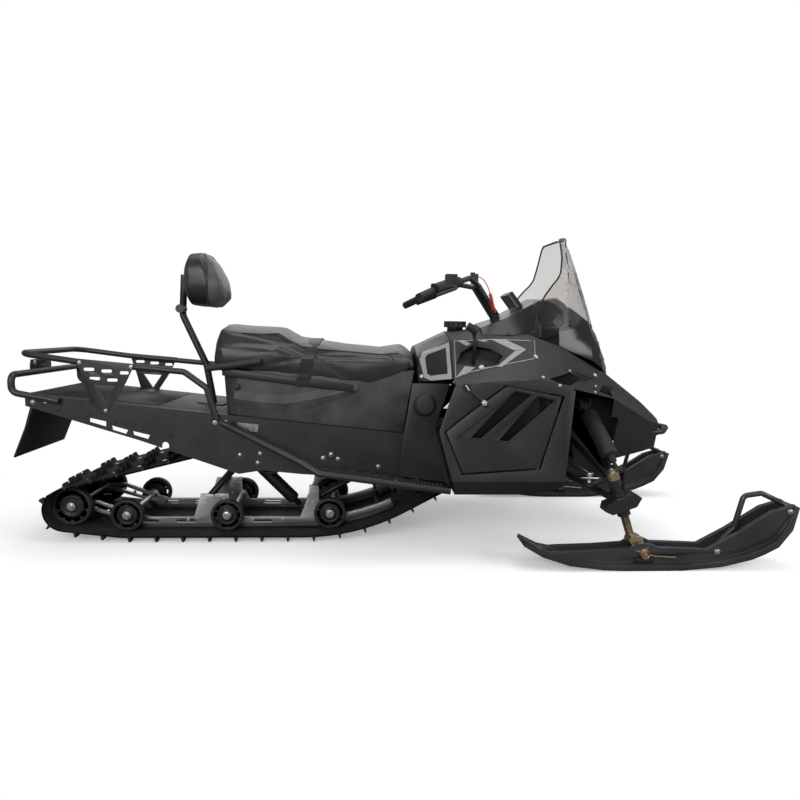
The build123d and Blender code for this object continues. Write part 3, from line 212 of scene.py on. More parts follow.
# %% Soft panels
PANELS = [
    # name, place, target, size in metres, watts
    ("overhead_panel", (0.2, 0.4, 4.2), (0.0, 0.0, 0.4), (5.0, 3.0), 95),
    ("side_panel", (-1.8, -4.2, 2.2), (0.0, 0.0, 0.5), (3.0, 2.0), 120),
    ("nose_panel", (3.9, -2.2, 2.2), (0.6, 0.0, 0.5), (2.0, 2.0), 55),
    ("far_panel", (-0.5, 4.2, 2.6), (0.0, 0.0, 0.5), (4.0, 2.0), 26),
]


def panel_light(name, place, target, size, watts):
    """Soft panel at a place in metres, turned to its target."""
    data = bpy.data.lights.new(name, "AREA")
    data.shape = "RECTANGLE"
    data.size, data.size_y = size
    data.energy = watts
    lamp = linked(name, data)
    lamp.location = place
    lamp.rotation_euler = (Vector(target) - Vector(place)).to_track_quat("-Z", "Y").to_euler()


for row in PANELS:
    panel_light(*row)
print("studio with", len(PANELS), "panels")

# %% [markdown]
# Nearly every surface of this machine is black, so the finishes differ by gloss, grain and small shifts of grey.
# A finish could be one flat colour, but then the covers, the seat and the frame would melt into one shape. Each
# material below is a stack of layers, and each layer's grain is given by its real size in millimetres.

# %% Layers of a finish
GREY_STOPS = (0.32, 0.68)    # how far into a pattern its darker and its lighter grey are reached


def drive(tree, shader, source, greys=None, gloss=None, height=None, under=None):
    """Lets a pattern drive the colour between two greys, the roughness between two values, and a bump in mm."""
    if greys:
        ramp = add(tree, "ShaderNodeValToRGB", {}, {}, {"Fac": source})
        for stop, position, colour in zip(ramp.color_ramp.elements, GREY_STOPS, greys):
            stop.position = position
            stop.color = linear(colour)
        tree.links.new(ramp.outputs["Color"], shader.inputs["Base Color"])
    if gloss:
        span = add(tree, "ShaderNodeMapRange", {}, {"To Min": gloss[0], "To Max": gloss[1]}, {"Value": source})
        tree.links.new(span.outputs[0], shader.inputs["Roughness"])
    if height is None:
        return under
    bump = add(tree, "ShaderNodeBump", {}, {"Strength": 1.0, "Distance": height * MM}, {"Height": source})
    if under is not None:
        tree.links.new(under, bump.inputs["Normal"])
    tree.links.new(bump.outputs[0], shader.inputs["Normal"])
    return bump.outputs[0]


def bare(name, colour, roughness, sockets=()):
    """New material with a plain surface; returns it with its tree, its shader and object coordinates."""
    material = bpy.data.materials.new(name)
    material.use_nodes = True
    tree = material.node_tree
    tree.nodes.clear()
    shader = add(tree, "ShaderNodeBsdfPrincipled", {},
                 {"Base Color": linear(colour), "Roughness": roughness, **dict(sockets)})
    add(tree, "ShaderNodeOutputMaterial", {}, {}, {"Surface": shader.outputs[0]})
    return material, tree, shader, add(tree, "ShaderNodeTexCoord").outputs["Object"]


def finish(name, colour, roughness, layers, sockets=()):
    """Material of layers from the coarse to the fine, each with its pattern and what the pattern drives."""
    material, tree, shader, place = bare(name, colour, roughness, sockets)
    under = None
    for kind, settings, values, output, drives in layers:
        pattern = add(tree, kind, settings, values, {"Vector": place})
        under = drive(tree, shader, pattern.outputs[output], under=under, **drives)
    return material


def grain(size_mm, detail, **drives):
    """Layer of soft blotches about size_mm across."""
    return "ShaderNodeTexNoise", {}, {"Scale": 1 / (size_mm * MM), "Detail": detail}, 0, drives


def pebbles(size_mm, feature, **drives):
    """Layer of cells about size_mm across: F1 gives pits, DISTANCE_TO_EDGE gives creases between flat pads."""
    return "ShaderNodeTexVoronoi", {"feature": feature}, {"Scale": 1 / (size_mm * MM)}, "Distance", drives


def wave_scale(pitch_mm):
    """Scale of a wave pattern whose ribs are pitch_mm apart."""
    return 0.5 / (pitch_mm * MM) / math.pi


print("greys are reached at", GREY_STOPS, "of a pattern")


# %% [markdown]
# The frame parts are powder coated: a baked polymer coat with a faint orange peel about 2 mm across. The covers
# are injection moulded, some in a matt grained plastic and some in a glossier one, and the big covers show soft
# changes of gloss where hands and snow have rubbed them. The seat box is roto-moulded polyethylene with a coarse
# stipple, where pin-head highlights sit between dull pits.

# %% Coats and moulded plastics


def moulded(name, low, high, rough, grain_mm, grain_height):
    """Injection-moulded cover: eroded tool grain and a slow change of gloss over the panel."""
    return finish(name, low, rough, [
        grain(140, 3, greys=(low, high), gloss=(rough - 0.05, rough + 0.07)),
        grain(grain_mm, 3, height=grain_height)])


POWDER = finish("black_powder_coat", "#1C1D1E", 0.42, [
    grain(60, 4, greys=("#1C1D1E", "#242526"), gloss=(0.36, 0.5)), grain(2.2, 2, height=0.05)])
GRAINED = moulded("grained_abs", "#1B1C1D", "#252627", 0.5, 1.3, 0.09)
SATIN = moulded("satin_abs", "#131415", "#1B1C1D", 0.3, 2.0, 0.04)
GLOSS = moulded("gloss_abs", "#0F1011", "#16171A", 0.17, 30.0, 0.12)
NYLON = moulded("black_nylon", "#161718", "#1F2021", 0.46, 1.6, 0.08)
# The ski's greys are lifted above the black of its plastic: painted sheen, for the room's reflection in its gloss.
SKI_PLASTIC = moulded("ski_polyethylene", "#2A2A2A", "#383838", 0.22, 8.0, 0.1)
SHOE_PLASTIC = moulded("graphite_polyethylene", "#101112", "#18191A", 0.4, 3.0, 0.08)
STIPPLE = finish("stippled_polyethylene", "#2B2C2D", 0.55, [
    pebbles(3.2, "F1", gloss=(0.38, 0.75), height=-0.5), grain(90, 4, greys=("#2C2C2C", "#484846")),
    grain(1.1, 2, height=0.12)])
print("coats and plastics:", len(bpy.data.materials) - 1)

# %% [markdown]
# The seat is PVC-coated cloth with an embossed leather grain, which breaks its highlights up. A real grain of
# 0.8 mm is finer than one pixel here, so it is drawn at 2.4 mm. The track is moulded rubber with dust rubbed into
# it in soft patches, the grips are a soft rubber duller than the covers, and the strap is woven polyester.

# %% Soft and rubbery finishes


def seat_cloth(name, low, high):
    """PVC-coated cloth: slow creases under an embossed leather grain."""
    return finish(name, low, 0.4, [
        grain(110, 3, greys=(low, high), gloss=(0.33, 0.48)), pebbles(2.4, "DISTANCE_TO_EDGE", height=0.16),
        grain(30, 3, height=0.7)])


def strap_webbing():
    """Woven polyester: ribs 1.6 mm apart along the machine and 2.2 mm up the strap."""
    material, tree, shader, place = bare("polyester_webbing", "#151516", 0.78, {"Sheen Weight": 0.3})
    ribs = [add(tree, "ShaderNodeTexWave", {"bands_direction": direction},
                {"Scale": wave_scale(pitch), "Distortion": 0.6}, {"Vector": place}).outputs["Fac"]
            for direction, pitch in (("X", 1.6), ("Z", 2.2))]
    both = add(tree, "ShaderNodeMath", {"operation": "MULTIPLY"}, {}, dict(enumerate(ribs)))
    drive(tree, shader, both.outputs[0], greys=("#101011", "#212122"), height=0.5)
    return material


VINYL = seat_cloth("coated_seat_cloth", "#191A1C", "#222325")
GREY_VINYL = seat_cloth("grey_seat_cloth", "#4A4A47", "#585854")
TRACK_RUBBER = finish("moulded_rubber", "#161616", 0.72, [
    grain(34, 5, greys=("#141414", "#2A2927"), gloss=(0.6, 0.86)), grain(2.5, 3, height=0.25)])
GRIP_RUBBER = finish("soft_rubber", "#1A1A1B", 0.62, [
    grain(18, 3, greys=("#171718", "#232324")), grain(1.2, 2, height=0.12)])
WEBBING = strap_webbing()
print("cloth and rubber:", [material.name for material in (VINYL, GREY_VINYL, TRACK_RUBBER, GRIP_RUBBER, WEBBING)])

# %% [markdown]
# Bare metal shows at the slide rails, the axles, the damper eyes and the bolts. The rails are extruded aluminium
# with draw marks along their length. The steering parts are yellow zinc plate and the bolts are white zinc: an
# electroplated coat that is slightly cloudy, so its highlights are soft. The engine's castings are darker.

# %% Metals
DRAW_STRETCH = 90.0          # how much longer than wide a draw mark is
METAL = {"Metallic": 1.0}


def milled_aluminium():
    """Extruded 6000-series aluminium with draw marks 1.4 mm wide along X."""
    material, tree, shader, place = bare("milled_aluminium", "#A9ABAD", 0.36, METAL)
    drawn = add(tree, "ShaderNodeMapping", {}, {"Scale": (1 / DRAW_STRETCH, 1.0, 1.0)}, {"Vector": place})
    marks = add(tree, "ShaderNodeTexNoise", {}, {"Scale": 1 / (1.4 * MM), "Detail": 4},
                {"Vector": drawn.outputs[0]})
    drive(tree, shader, marks.outputs[0], ("#8F9193", "#B7B9BA"), (0.28, 0.46), 0.05)
    return material


def clouded_metal(name, low, high):
    """Plated or cast metal with a faint cloudiness about 9 mm across."""
    return finish(name, low, 0.3, [grain(9, 4, greys=(low, high), gloss=(0.22, 0.42))], METAL)


ALUMINIUM = milled_aluminium()
ZINC = clouded_metal("white_zinc", "#B9BBBE", "#CFD1D3")
YELLOW_ZINC = clouded_metal("yellow_zinc", "#B0957A", "#D6BA9A")
PLATE_ALLOY = clouded_metal("plate_aluminium", "#A9ABAD", "#BFC1C3")
CAST = clouded_metal("cast_aluminium", "#76787A", "#8E9092")
DARK_CAST = clouded_metal("engine_castings", "#2E2F30", "#3A3B3C")
print("metals:", [material.name for material in (ALUMINIUM, ZINC, YELLOW_ZINC, PLATE_ALLOY, CAST, DARK_CAST)])

# %% [markdown]
# The windshield is a thin bent sheet of polycarbonate with a light smoke tint. Its IOR is far below the real 1.58,
# because the sheet is drawn thicker than it is and would bend the room too much. The lamps are clear acrylic
# mouldings with fine flutes over a dark reflector, and the stripes are printed vinyl film with a slight haze.

# %% Clear parts and film


def lens(name, colour, clear):
    """Moulded acrylic lens with flutes 9 mm apart."""
    flutes = ("ShaderNodeTexWave", {"bands_direction": "Y"}, {"Scale": wave_scale(9)}, "Fac", {"height": 0.8})
    return finish(name, colour, 0.08, [flutes], {"IOR": 1.49, "Transmission Weight": clear, "Coat Weight": 0.6})


def decal_film(name, low, high, rough):
    """Printed vinyl film."""
    return finish(name, low, rough, [grain(25, 3, greys=(low, high), gloss=(rough - 0.06, rough + 0.06))])


SCREEN = finish("smoke_polycarbonate", "#D3D1CF", 0.0, [grain(40, 3, gloss=(0.0, 0.02))],
                {"IOR": 1.2, "Transmission Weight": 1.0})
CLEAR_LENS = lens("clear_acrylic", "#E8EAEC", 0.9)
RED_LENS = lens("red_acrylic", "#7A0C10", 0.35)
STRIPE = decal_film("grey_film", "#8E9092", "#9B9D9F", 0.36)
COIL_RED = finish("red_polyurethane", "#C21226", 0.28, [grain(12, 2, greys=("#B80F22", "#CE1A2E"))],
                  {"Coat Weight": 0.4})
print("finishes:", len(bpy.data.materials))

# %% [markdown]
# Every moulded, cast or bent piece has small round edges that catch the light, and without them a cover looks
# cut from paper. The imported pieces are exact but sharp, so each one is copied, its triangles are merged back into
# whole faces, and only its long crisp edges are bevelled. The copy stands for its node and rides with it.

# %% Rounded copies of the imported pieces
BODY_OF = {node: body for body, members in frame["record"]["behaviour"]["bodies"].items() for node in members}
CRISP = 28.0                 # degrees between two faces from which an edge is rounded
ROUNDED = {"offset_type": "OFFSET", "segments": 2, "profile": 0.5, "affect": "EDGES", "material": -1}


def shown(name, bm, body, material, smooth):
    """Puts a finished bmesh in the scene as a piece that rides on a body, smooth up to an angle in degrees."""
    mesh = mesh_of(name, bm)
    mesh.polygons.foreach_set("use_smooth", [True] * len(mesh.polygons))
    mesh.set_sharp_from_angle(angle=math.radians(smooth))
    mesh.materials.append(material)
    piece = linked(name, mesh)
    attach(piece, body)
    return piece


def opened(mesh):
    """New bmesh of a mesh."""
    bm = bmesh.new()
    bm.from_mesh(mesh)
    return bm


def merged_copy(node):
    """A node's mesh with its triangles joined into whole flat faces."""
    bm = opened(frame["nodes"][node].data)
    bmesh.ops.remove_doubles(bm, verts=bm.verts, dist=2e-5)
    bmesh.ops.dissolve_limit(bm, angle_limit=math.radians(0.8), verts=bm.verts, edges=bm.edges)
    return bm


def crisp_edges(bm, angle, shortest_mm):
    """Edges sharper than an angle and longer than a length, with two faces each."""
    return [edge for edge in bm.edges if len(edge.link_faces) == 2 and edge.calc_length() > shortest_mm * MM
            and edge.calc_face_angle(0.0) > math.radians(angle)]


def dress(node, radius_mm, material):
    """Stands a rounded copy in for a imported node, in a given finish."""
    bm = merged_copy(node)
    if radius_mm:
        bmesh.ops.bevel(bm, geom=crisp_edges(bm, CRISP, radius_mm * 3), offset=radius_mm * MM, clamp_overlap=False,
                        **ROUNDED)
    piece = shown(node + "_finish", bm, BODY_OF[node], material, 40.0)
    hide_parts(node)


DRESSED = [
    # node, edge radius in mm (0 for none), finish
    ("tunnel", 0, POWDER), ("running_boards", 0.8, POWDER), ("belly_shell", 1.2, GRAINED),
    ("knee_cover", 1.5, GRAINED), ("hood", 1.5, GRAINED), ("nose_cone", 1.5, GRAINED), ("bulkhead", 1.0, POWDER),
    ("engine", 6.0, DARK_CAST), ("lamp_pod", 2.5, GLOSS), ("console", 2.5, SATIN), ("tank_cover", 6.0, SATIN),
    ("fuel_cap", 2.0, NYLON), ("seat_base", 3.0, STIPPLE), ("seat_trim", 3.0, NYLON),
    ("rack_tubes", 0, POWDER), ("rack_plates", 0.6, POWDER), ("tail_light", 3.0, GLOSS), ("rear_bumper", 0, POWDER),
    ("mud_flap", 1.0, TRACK_RUBBER), ("tow_hitch", 1.0, POWDER), ("backrest_post", 1.0, POWDER),
    ("grab_handles", 0, GRIP_RUBBER), ("slide_rails", 0.8, ALUMINIUM), ("slide_shoes", 1.0, SHOE_PLASTIC),
    ("rail_arms", 0, POWDER), ("rail_shocks", 0, POWDER), ("wheel_axles", 0.6, ZINC),
    ("idler_wheels", 1.2, NYLON), ("rail_wheels", 1.2, NYLON), ("carrier_wheels", 1.2, NYLON),
    ("drive_axle", 0.8, NYLON), ("front_bumper", 0, POWDER), ("front_arms", 0, POWDER),
    ("front_shocks", 1.0, GRIP_RUBBER), ("steering_post", 0, POWDER), ("handlebar", 0, POWDER),
    ("hand_grips", 0.8, GRIP_RUBBER), ("tie_rods", 0.6, ZINC), ("spindle_right", 1.0, YELLOW_ZINC),
    ("spindle_left", 1.0, YELLOW_ZINC), ("ski_right", 2.0, SKI_PLASTIC), ("ski_left", 2.0, SKI_PLASTIC),
    ("door_right", 1.5, GRAINED), ("door_left", 1.5, GRAINED), ("latch_right", 1.5, GRIP_RUBBER),
    ("latch_left", 1.5, GRIP_RUBBER), ("windshield", 0, SCREEN), ("gear_lever", 2.0, NYLON),
    ("stop_switch", 1.0, NYLON),
]
for row in DRESSED:
    dress(*row)
print("dressed", len(DRESSED), "nodes of", len(frame["nodes"]))

# %% [markdown]
# The small work that follows is made of bars, plates and swept shapes. A plate is one face, extruded once. A
# beading or a strap is one face too, extruded from row to row along its line, so that it is always closed.

# %% Bars, plates and sweeps
PIPE_SIDES = 8


def bar(bm, start, end, radius, segments, tip=None):
    """Round bar, or a cone down to its tip radius, between two points in metres."""
    start, end = Vector(start), Vector(end)
    turn = (end - start).to_track_quat("Z", "Y").to_matrix().to_4x4()
    bmesh.ops.create_cone(bm, cap_ends=True, segments=segments, radius1=radius * MM,
                          radius2=(radius if tip is None else tip) * MM, depth=(end - start).length,
                          matrix=Matrix.Translation((start + end) / 2) @ turn)


def plate(bm, corners, thick):
    """Closed plate over corners in metres, grown by a vector."""
    face = bm.faces.new([bm.verts.new(corner) for corner in corners])
    grown = bmesh.ops.extrude_face_region(bm, geom=[face])
    moved = [item for item in grown["geom"] if isinstance(item, bmesh.types.BMVert)]
    bmesh.ops.translate(bm, vec=thick, verts=moved)
    bmesh.ops.recalc_face_normals(bm, faces=bm.faces)


def prism(bm, outline, y_low, y_high):
    """Prism across the machine over an (x, z) outline, all in mm from the datum."""
    plate(bm, [at(x, y_low, z) for x, z in outline], Vector((0, (y_high - y_low) * MM, 0)))


def swept(bm, rows):
    """Closed shape through rows of corners in metres; the faces between its two ends are taken out."""
    first = face = bm.faces.new([bm.verts.new(spot) for spot in rows[0]])
    verts = list(face.verts)
    for row in rows[1:]:
        grown = bmesh.ops.extrude_face_region(bm, geom=[face])["geom"]
        if face is not first:
            bm.faces.remove(face)
        face = next(item for item in grown if isinstance(item, bmesh.types.BMFace))
        for vert, spot in zip(face.verts, row):
            vert.co = spot
        verts += face.verts
    bm.normal_update()
    bmesh.ops.recalc_face_normals(bm, faces=list({part for vert in verts for part in vert.link_faces}))


def pipe(bm, points, radius):
    """Round beading along points in metres."""
    points = [Vector(point) for point in points]
    rings = []
    for index, point in enumerate(points):
        before, after = points[max(index - 1, 0)], points[min(index + 1, len(points) - 1)]
        turn = (after - before).to_track_quat("Z", "Y").to_matrix()
        angles = [2 * math.pi * step / PIPE_SIDES for step in range(PIPE_SIDES)]
        rings.append([point + turn @ Vector((math.cos(a), math.sin(a), 0)) * radius * MM for a in angles])
    swept(bm, rings)


def soften(bm, radius_mm):
    """Rounds every crisp edge of a small moulding."""
    bmesh.ops.bevel(bm, geom=crisp_edges(bm, 35.0, radius_mm * 2.2), offset=radius_mm * MM, clamp_overlap=True,
                    **ROUNDED)


print("beadings have", PIPE_SIDES, "sides")

# %% [markdown]
# A bolt, a stripe or a seam has to sit on its cover and never float. So each point is given in side view, and a ray
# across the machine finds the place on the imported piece, or on the swollen cushion, that lies there.

# %% Places on a surface
FAR_OUT = 900                # mm from the machine's middle, clear of every piece
TREES = {}


def search_tree(mesh):
    """Search tree over a mesh's faces."""
    bm = opened(mesh)
    tree = BVHTree.FromBMesh(bm)
    bm.free()
    return tree


def from_side(tree, x, z, side):
    """Hit of a ray that comes in from the right (-1) or left side."""
    return tree.ray_cast(at(x, side * FAR_OUT, z), Vector((0, -side, 0)))


def touched(hit, what):
    """Place and normal of a ray's hit, which there has to be."""
    place, normal, _, _ = hit
    if place is None:
        raise ValueError(f"nothing lies under {what}")
    return place, normal


def laid(x, z, nodes, side=-1):
    """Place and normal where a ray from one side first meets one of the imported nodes."""
    hits = []
    for node in nodes:
        if node not in TREES:
            TREES[node] = search_tree(frame["nodes"][node].data)
        hits.append(from_side(TREES[node], x, z, side))
    nearest = min((hit for hit in hits if hit[0] is not None), key=lambda hit: hit[3], default=hits[0])
    return touched(nearest, f"{x}, {z} on {nodes}")


print("rays start", FAR_OUT, "mm out")

# %% [markdown]
# The track is rubber over cross rods, with paddles in three rows, a steel clip beside each window and drive lugs
# inside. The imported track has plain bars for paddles, so each one is lifted off and a notched paddle takes its
# place, standing on the same spot of the belt.

# %% Paddles
PADDLE_TALL = 20.0
PADDLE_NOTCH = 7.0           # half the width of a notch
NOTCH_SLOPE = 3.0
NOTCH_DEEP = 9.0
PADDLE_END = (9.0, 4.0)      # how far from its end a paddle's lip starts to fall, and by how much
PADDLE_SECTION = ((6.6, PADDLE_TALL + 1), (4.6, PADDLE_TALL - 6))   # half thickness and depth under the lip
LIP_HALF = 2.4
PADDLE_SKIN = (0, 1, 2, 5, 4, 3)     # the section's corners in their order round it
CENTRE_HALF, OUTER_HALF = 90.0, 75.0


def paddle_spots(bm):
    """Outer end face of each packed paddle, as (its corners, middle, outward direction)."""
    spots = []
    for face in bm.faces:
        if len(face.verts) != 4:
            continue
        sides = sorted(edge.calc_length() / MM for edge in face.edges)
        if abs(sides[1] - 12) < 0.3 and min(abs(sides[2] - 2 * half) for half in (OUTER_HALF, CENTRE_HALF)) < 0.5:
            spots.append((list(face.verts), face.calc_center_median(), face.normal.copy()))
    return spots


def paddle_stations(half):
    """Places across a paddle, each with the drop of its lip: rounded ends and two notches."""
    inner, drop = PADDLE_END
    stations = [(-half, drop), (-half + inner, 0)]
    for centre in (-half / 3, half / 3):
        stations += [(centre - PADDLE_NOTCH - NOTCH_SLOPE, 0), (centre - PADDLE_NOTCH, NOTCH_DEEP),
                     (centre + PADDLE_NOTCH, NOTCH_DEEP), (centre + PADDLE_NOTCH + NOTCH_SLOPE, 0)]
    return stations + [(half - inner, 0), (half, drop)]


def paddle(bm, middle, outward, half):
    """Paddle with a wide foot and a thin notched lip, its lip at middle and open where it stands on the belt."""
    along = Vector((0, 1, 0)).cross(outward)
    rows = []
    for y, drop in paddle_stations(half):
        base = middle + Vector((0, y * MM, 0))
        rows.append([bm.verts.new(base + (along * side * thick - outward * depth) * MM)
                     for side in (-1, 1) for thick, depth in (*PADDLE_SECTION, (LIP_HALF, drop))])
    for row, following in zip(rows, rows[1:]):
        for a, b in zip(PADDLE_SKIN, PADDLE_SKIN[1:]):
            bm.faces.new((row[a], row[b], following[b], following[a]))
    for row in (rows[0], rows[-1]):
        bm.faces.new([row[index] for index in PADDLE_SKIN])


print("paddle", PADDLE_TALL, "mm tall")

# %% [markdown]
# Each centre paddle stands between two windows. A folded steel clip guides the slide rail at either one, and two
# rubber lugs inside the belt are pushed by the drive sprockets. The ends of the cross rods just show at the edges.

# %% Clips, lugs and rods
CLIP_Y = 140.0
CLIP_HALF = (9.0, 7.0)       # half its length along the belt and half its width
CLIP_THICK = 8.6
CLIP_SUNK = 7.1
LUG_Y = 100.0
LUG_REACH = (6.0, 20.0)      # depths under the belt's outside where a lug starts and ends
ROD_Y = 0.25                 # metres from the middle to the belt's edge
ROD_SUNK = 3.5


def belt_fittings(bm, clips, foot, outward):
    """Two clips and two drive lugs at the foot of a centre paddle."""
    along = Vector((0, 1, 0)).cross(outward)
    for side in (-1, 1):
        base = foot + Vector((0, side * CLIP_Y, 0)) * MM
        corners = [base + (along * a * CLIP_HALF[0] + Vector((0, b * CLIP_HALF[1], 0)) - outward * CLIP_SUNK) * MM
                   for a, b in ((-1, -1), (1, -1), (1, 1), (-1, 1))]
        plate(clips, corners, outward * CLIP_THICK * MM)
        base = foot + Vector((0, side * LUG_Y, 0)) * MM
        start, end = [base - outward * depth * MM for depth in LUG_REACH]
        bar(bm, start, end, 11, 4, 6)


def detailed_track():
    bm = merged_copy("track")
    clips = bmesh.new()
    spots = paddle_spots(bm)
    bmesh.ops.delete(bm, geom=list({vert for corners, _, _ in spots for vert in corners}), context="VERTS")
    for _, middle, outward in spots:
        centred = abs(middle.y) < 0.01
        paddle(bm, middle, outward, CENTRE_HALF if centred else OUTER_HALF)
        foot = middle - outward * PADDLE_TALL * MM
        if centred:
            belt_fittings(bm, clips, foot, outward)
        for edge in (-1, 1) if centred else (1 if middle.y > 0 else -1,):
            end = foot + Vector((0, edge * ROD_Y - middle.y, 0)) - outward * ROD_SUNK * MM
            bar(bm, end - Vector((0, edge * 0.004, 0)), end + Vector((0, edge * 0.0012, 0)), 3.0, 10)
    bmesh.ops.recalc_face_normals(bm, faces=bm.faces)
    piece = shown("track_finish", bm, BODY_OF["track"], TRACK_RUBBER, 30.0)
    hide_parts("track")
    soften(clips, 0.8)
    shown("track_clips", clips, "chassis", ZINC, 30.0)
    print("paddles:", len(spots))


detailed_track()

# %% [markdown]
# The seat and the backrest are foam under a sewn cover. Their seams are measured as lines in side view. The cover
# hardly swells near a seam or under the strap, and its side panels hang down over the seat box's rim.

# %% Lines of the cushions
SEAT_SEAM = [
    # x and z of the seam under the seat's top panel, from the rear
    (-573, 850), (-480, 836), (-395, 832), (-338, 836), (-300, 812), (-250, 786), (-150, 775), (69, 759), (140, 766),
    (200, 752),
]
SEAT_DART = [(-308, 832), (-268, 801), (-194, 751), (-119, 708), (-60, 665)]
SEAT_BOW = [(105, 757), (125, 735), (139, 706)]
SEAT_SIDE = [(-558, 790), (-569, 740), (-566, 698), (-253, 675), (-149, 664), (-66, 651), (35, 646), (106, 669),
             (180, 700), (182, 736), (100, 744), (-50, 738), (-230, 748), (-330, 786)]
SEAT_SIDE_Y = (200, 257)     # the side cover's inner and outer face
STRAP_SPAN = (-285, -165)    # the strap keeps the seat down between these stations
PAD_SEAM = [                 # z and x of the seam round the pad
    (935, -640), (985, -628), (1049, -622), (1113, -634), (1163, -668)]
PAD_WAIST = -700             # the pad is slimmer towards its top, ahead of this station
PAD_SLIM = [(1000, 0.95), (1057, 0.85), (1099, 0.72), (1150, 0.6)]
SEAM_REACH = 5               # mm from a seam within which the cover is held
SEAMS_FROM = 170             # the seat's seams lie further than this from its middle
SIDE_FROM = 150              # from here out the cover may swell by SIDE_CAP only
SIDE_CAP, TOP_CAP, STRAP_CAP = 9.0, 20.0, 3.0


def line_z(points, x):
    """Height of a broken line at a station."""
    for (x0, z0), (x1, z1) in zip(points, points[1:]):
        if x <= x1:
            return z0 + (z1 - z0) * (x - x0) / (x1 - x0)
    return points[-1][1]


def line_gap(points, x, z):
    """Distance from a point to a broken line."""
    spot = Vector((x, z))
    best = math.inf
    for start, end in zip(points, points[1:]):
        start, end = Vector(start), Vector(end)
        share = max(0.0, min(1.0, (spot - start).dot(end - start) / (end - start).length_squared))
        best = min(best, (spot - start - (end - start) * share).length)
    return best


def seat_cap(spot):
    """How far the seat's cover may swell, in mm: more away from the strap, up to its side's or its top's cap."""
    away = max(STRAP_SPAN[0] - spot.x, spot.x - STRAP_SPAN[1], 0.0)
    return min(SIDE_CAP if abs(spot.y) > SIDE_FROM else TOP_CAP, STRAP_CAP + 0.16 * away)


def seat_held(spot, normal):
    """The seat's cover is held underneath and along its seams at the sides."""
    if normal.z < -0.5:
        return True
    if abs(spot.y) < SEAMS_FROM:
        return False
    return min(line_gap(line, spot.x, spot.z) for line in (SEAT_SEAM, SEAT_DART, SEAT_BOW)) < SEAM_REACH


def pad_held(spot, normal):
    """The pad's cover is held at its back and along its seam."""
    return normal.x < -0.75 or abs(spot.x - line_z(PAD_SEAM, spot.z)) < SEAM_REACH


def seat_shape():
    """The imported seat, with the side covers that hang over the seat box's rim."""
    bm = merged_copy("seat")
    low, high = SEAT_SIDE_Y
    prism(bm, SEAT_SIDE, low, high)
    prism(bm, SEAT_SIDE, -high, -low)
    return bm


def pad_shape():
    """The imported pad, slimmer towards its top."""
    bm = merged_copy("backrest_pad")
    bmesh.ops.subdivide_edges(bm, edges=bm.edges, cuts=3, use_grid_fill=True)
    for vert in bm.verts:
        spot = in_mm(vert.co)
        if spot.x > PAD_WAIST:
            vert.co = at(PAD_WAIST + (spot.x - PAD_WAIST) * line_z(PAD_SLIM, spot.z), spot.y, spot.z)
    return bm


print("seam of the seat:", len(SEAT_SEAM), "points, of the pad:", len(PAD_SEAM))

# %% [markdown]
# Each cushion starts a little small, is held along its base and its seams, and is blown up as cloth under pressure,
# so the panels swell between the seams as stuffed covers do. Sculpting could fake that, but the cloth finds its own
# folds. Nothing may swell past its cap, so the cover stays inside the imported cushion's box.

# %% Cushions
SWELL_FRAMES = 20
COVER = {"quality": 5, "mass": 0.3, "tension_stiffness": 12, "compression_stiffness": 12, "shear_stiffness": 8,
         "bending_stiffness": 1.5, "use_pressure": True, "uniform_pressure_force": 4.0, "vertex_group_mass": "held"}


def applied(piece):
    """Swaps a piece's mesh for the one that its modifiers make, and drops them."""
    shape = piece.evaluated_get(bpy.context.evaluated_depsgraph_get())
    mesh = bpy.data.meshes.new_from_object(shape)
    piece.modifiers.clear()
    piece.data = mesh


def eased(bm, factor, times=1):
    """Smooths a bmesh by moving each vertex towards its neighbours."""
    for _ in range(times):
        bmesh.ops.smooth_vert(bm, verts=bm.verts, factor=factor, use_axis_x=True, use_axis_y=True, use_axis_z=True)


def shrunk(bm, node, voxel_mm, small_mm):
    """Cushion of even faces, a little smaller than the shape it is made from."""
    piece = linked(node + "_cloth", mesh_of(node + "_cloth", bm))
    remesh = piece.modifiers.new("even_cloth", "REMESH")
    remesh.mode = "VOXEL"
    remesh.voxel_size = voxel_mm * MM
    applied(piece)
    bm = opened(piece.data)
    eased(bm, 0.5, 4)
    bm.normal_update()
    for vert in bm.verts:
        vert.co -= vert.normal * small_mm * MM
    bm.to_mesh(piece.data)
    bm.free()
    return piece


def blown_up(piece, held, cap):
    """Swells a cushion as cloth under pressure; held and cap take a point in mm from the datum."""
    spots = [(in_mm(vert.co), vert.normal.copy()) for vert in piece.data.vertices]
    before = [vert.co.copy() for vert in piece.data.vertices]
    group = piece.vertex_groups.new(name="held")
    group.add([index for index, (spot, normal) in enumerate(spots) if held(spot, normal)], 1.0, "REPLACE")
    cloth = piece.modifiers.new("cover", "CLOTH")
    for name, value in COVER.items():
        setattr(cloth.settings, name, value)
    cloth.settings.effector_weights.gravity = 0
    cloth.collision_settings.use_collision = False
    for number in range(1, SWELL_FRAMES + 1):
        bpy.context.scene.frame_set(number)
    applied(piece)
    bpy.context.scene.frame_set(1)
    for vert, start, (spot, _) in zip(piece.data.vertices, before, spots):
        move = vert.co - start
        most = cap(spot) * MM
        if move.length > most:
            vert.co = start + move.normalized() * most
    bm = opened(piece.data)
    eased(bm, 0.4)
    bm.to_mesh(piece.data)
    bm.free()
    smooth = piece.modifiers.new("smooth", "SUBSURF")
    smooth.levels = smooth.render_levels = 1
    applied(piece)


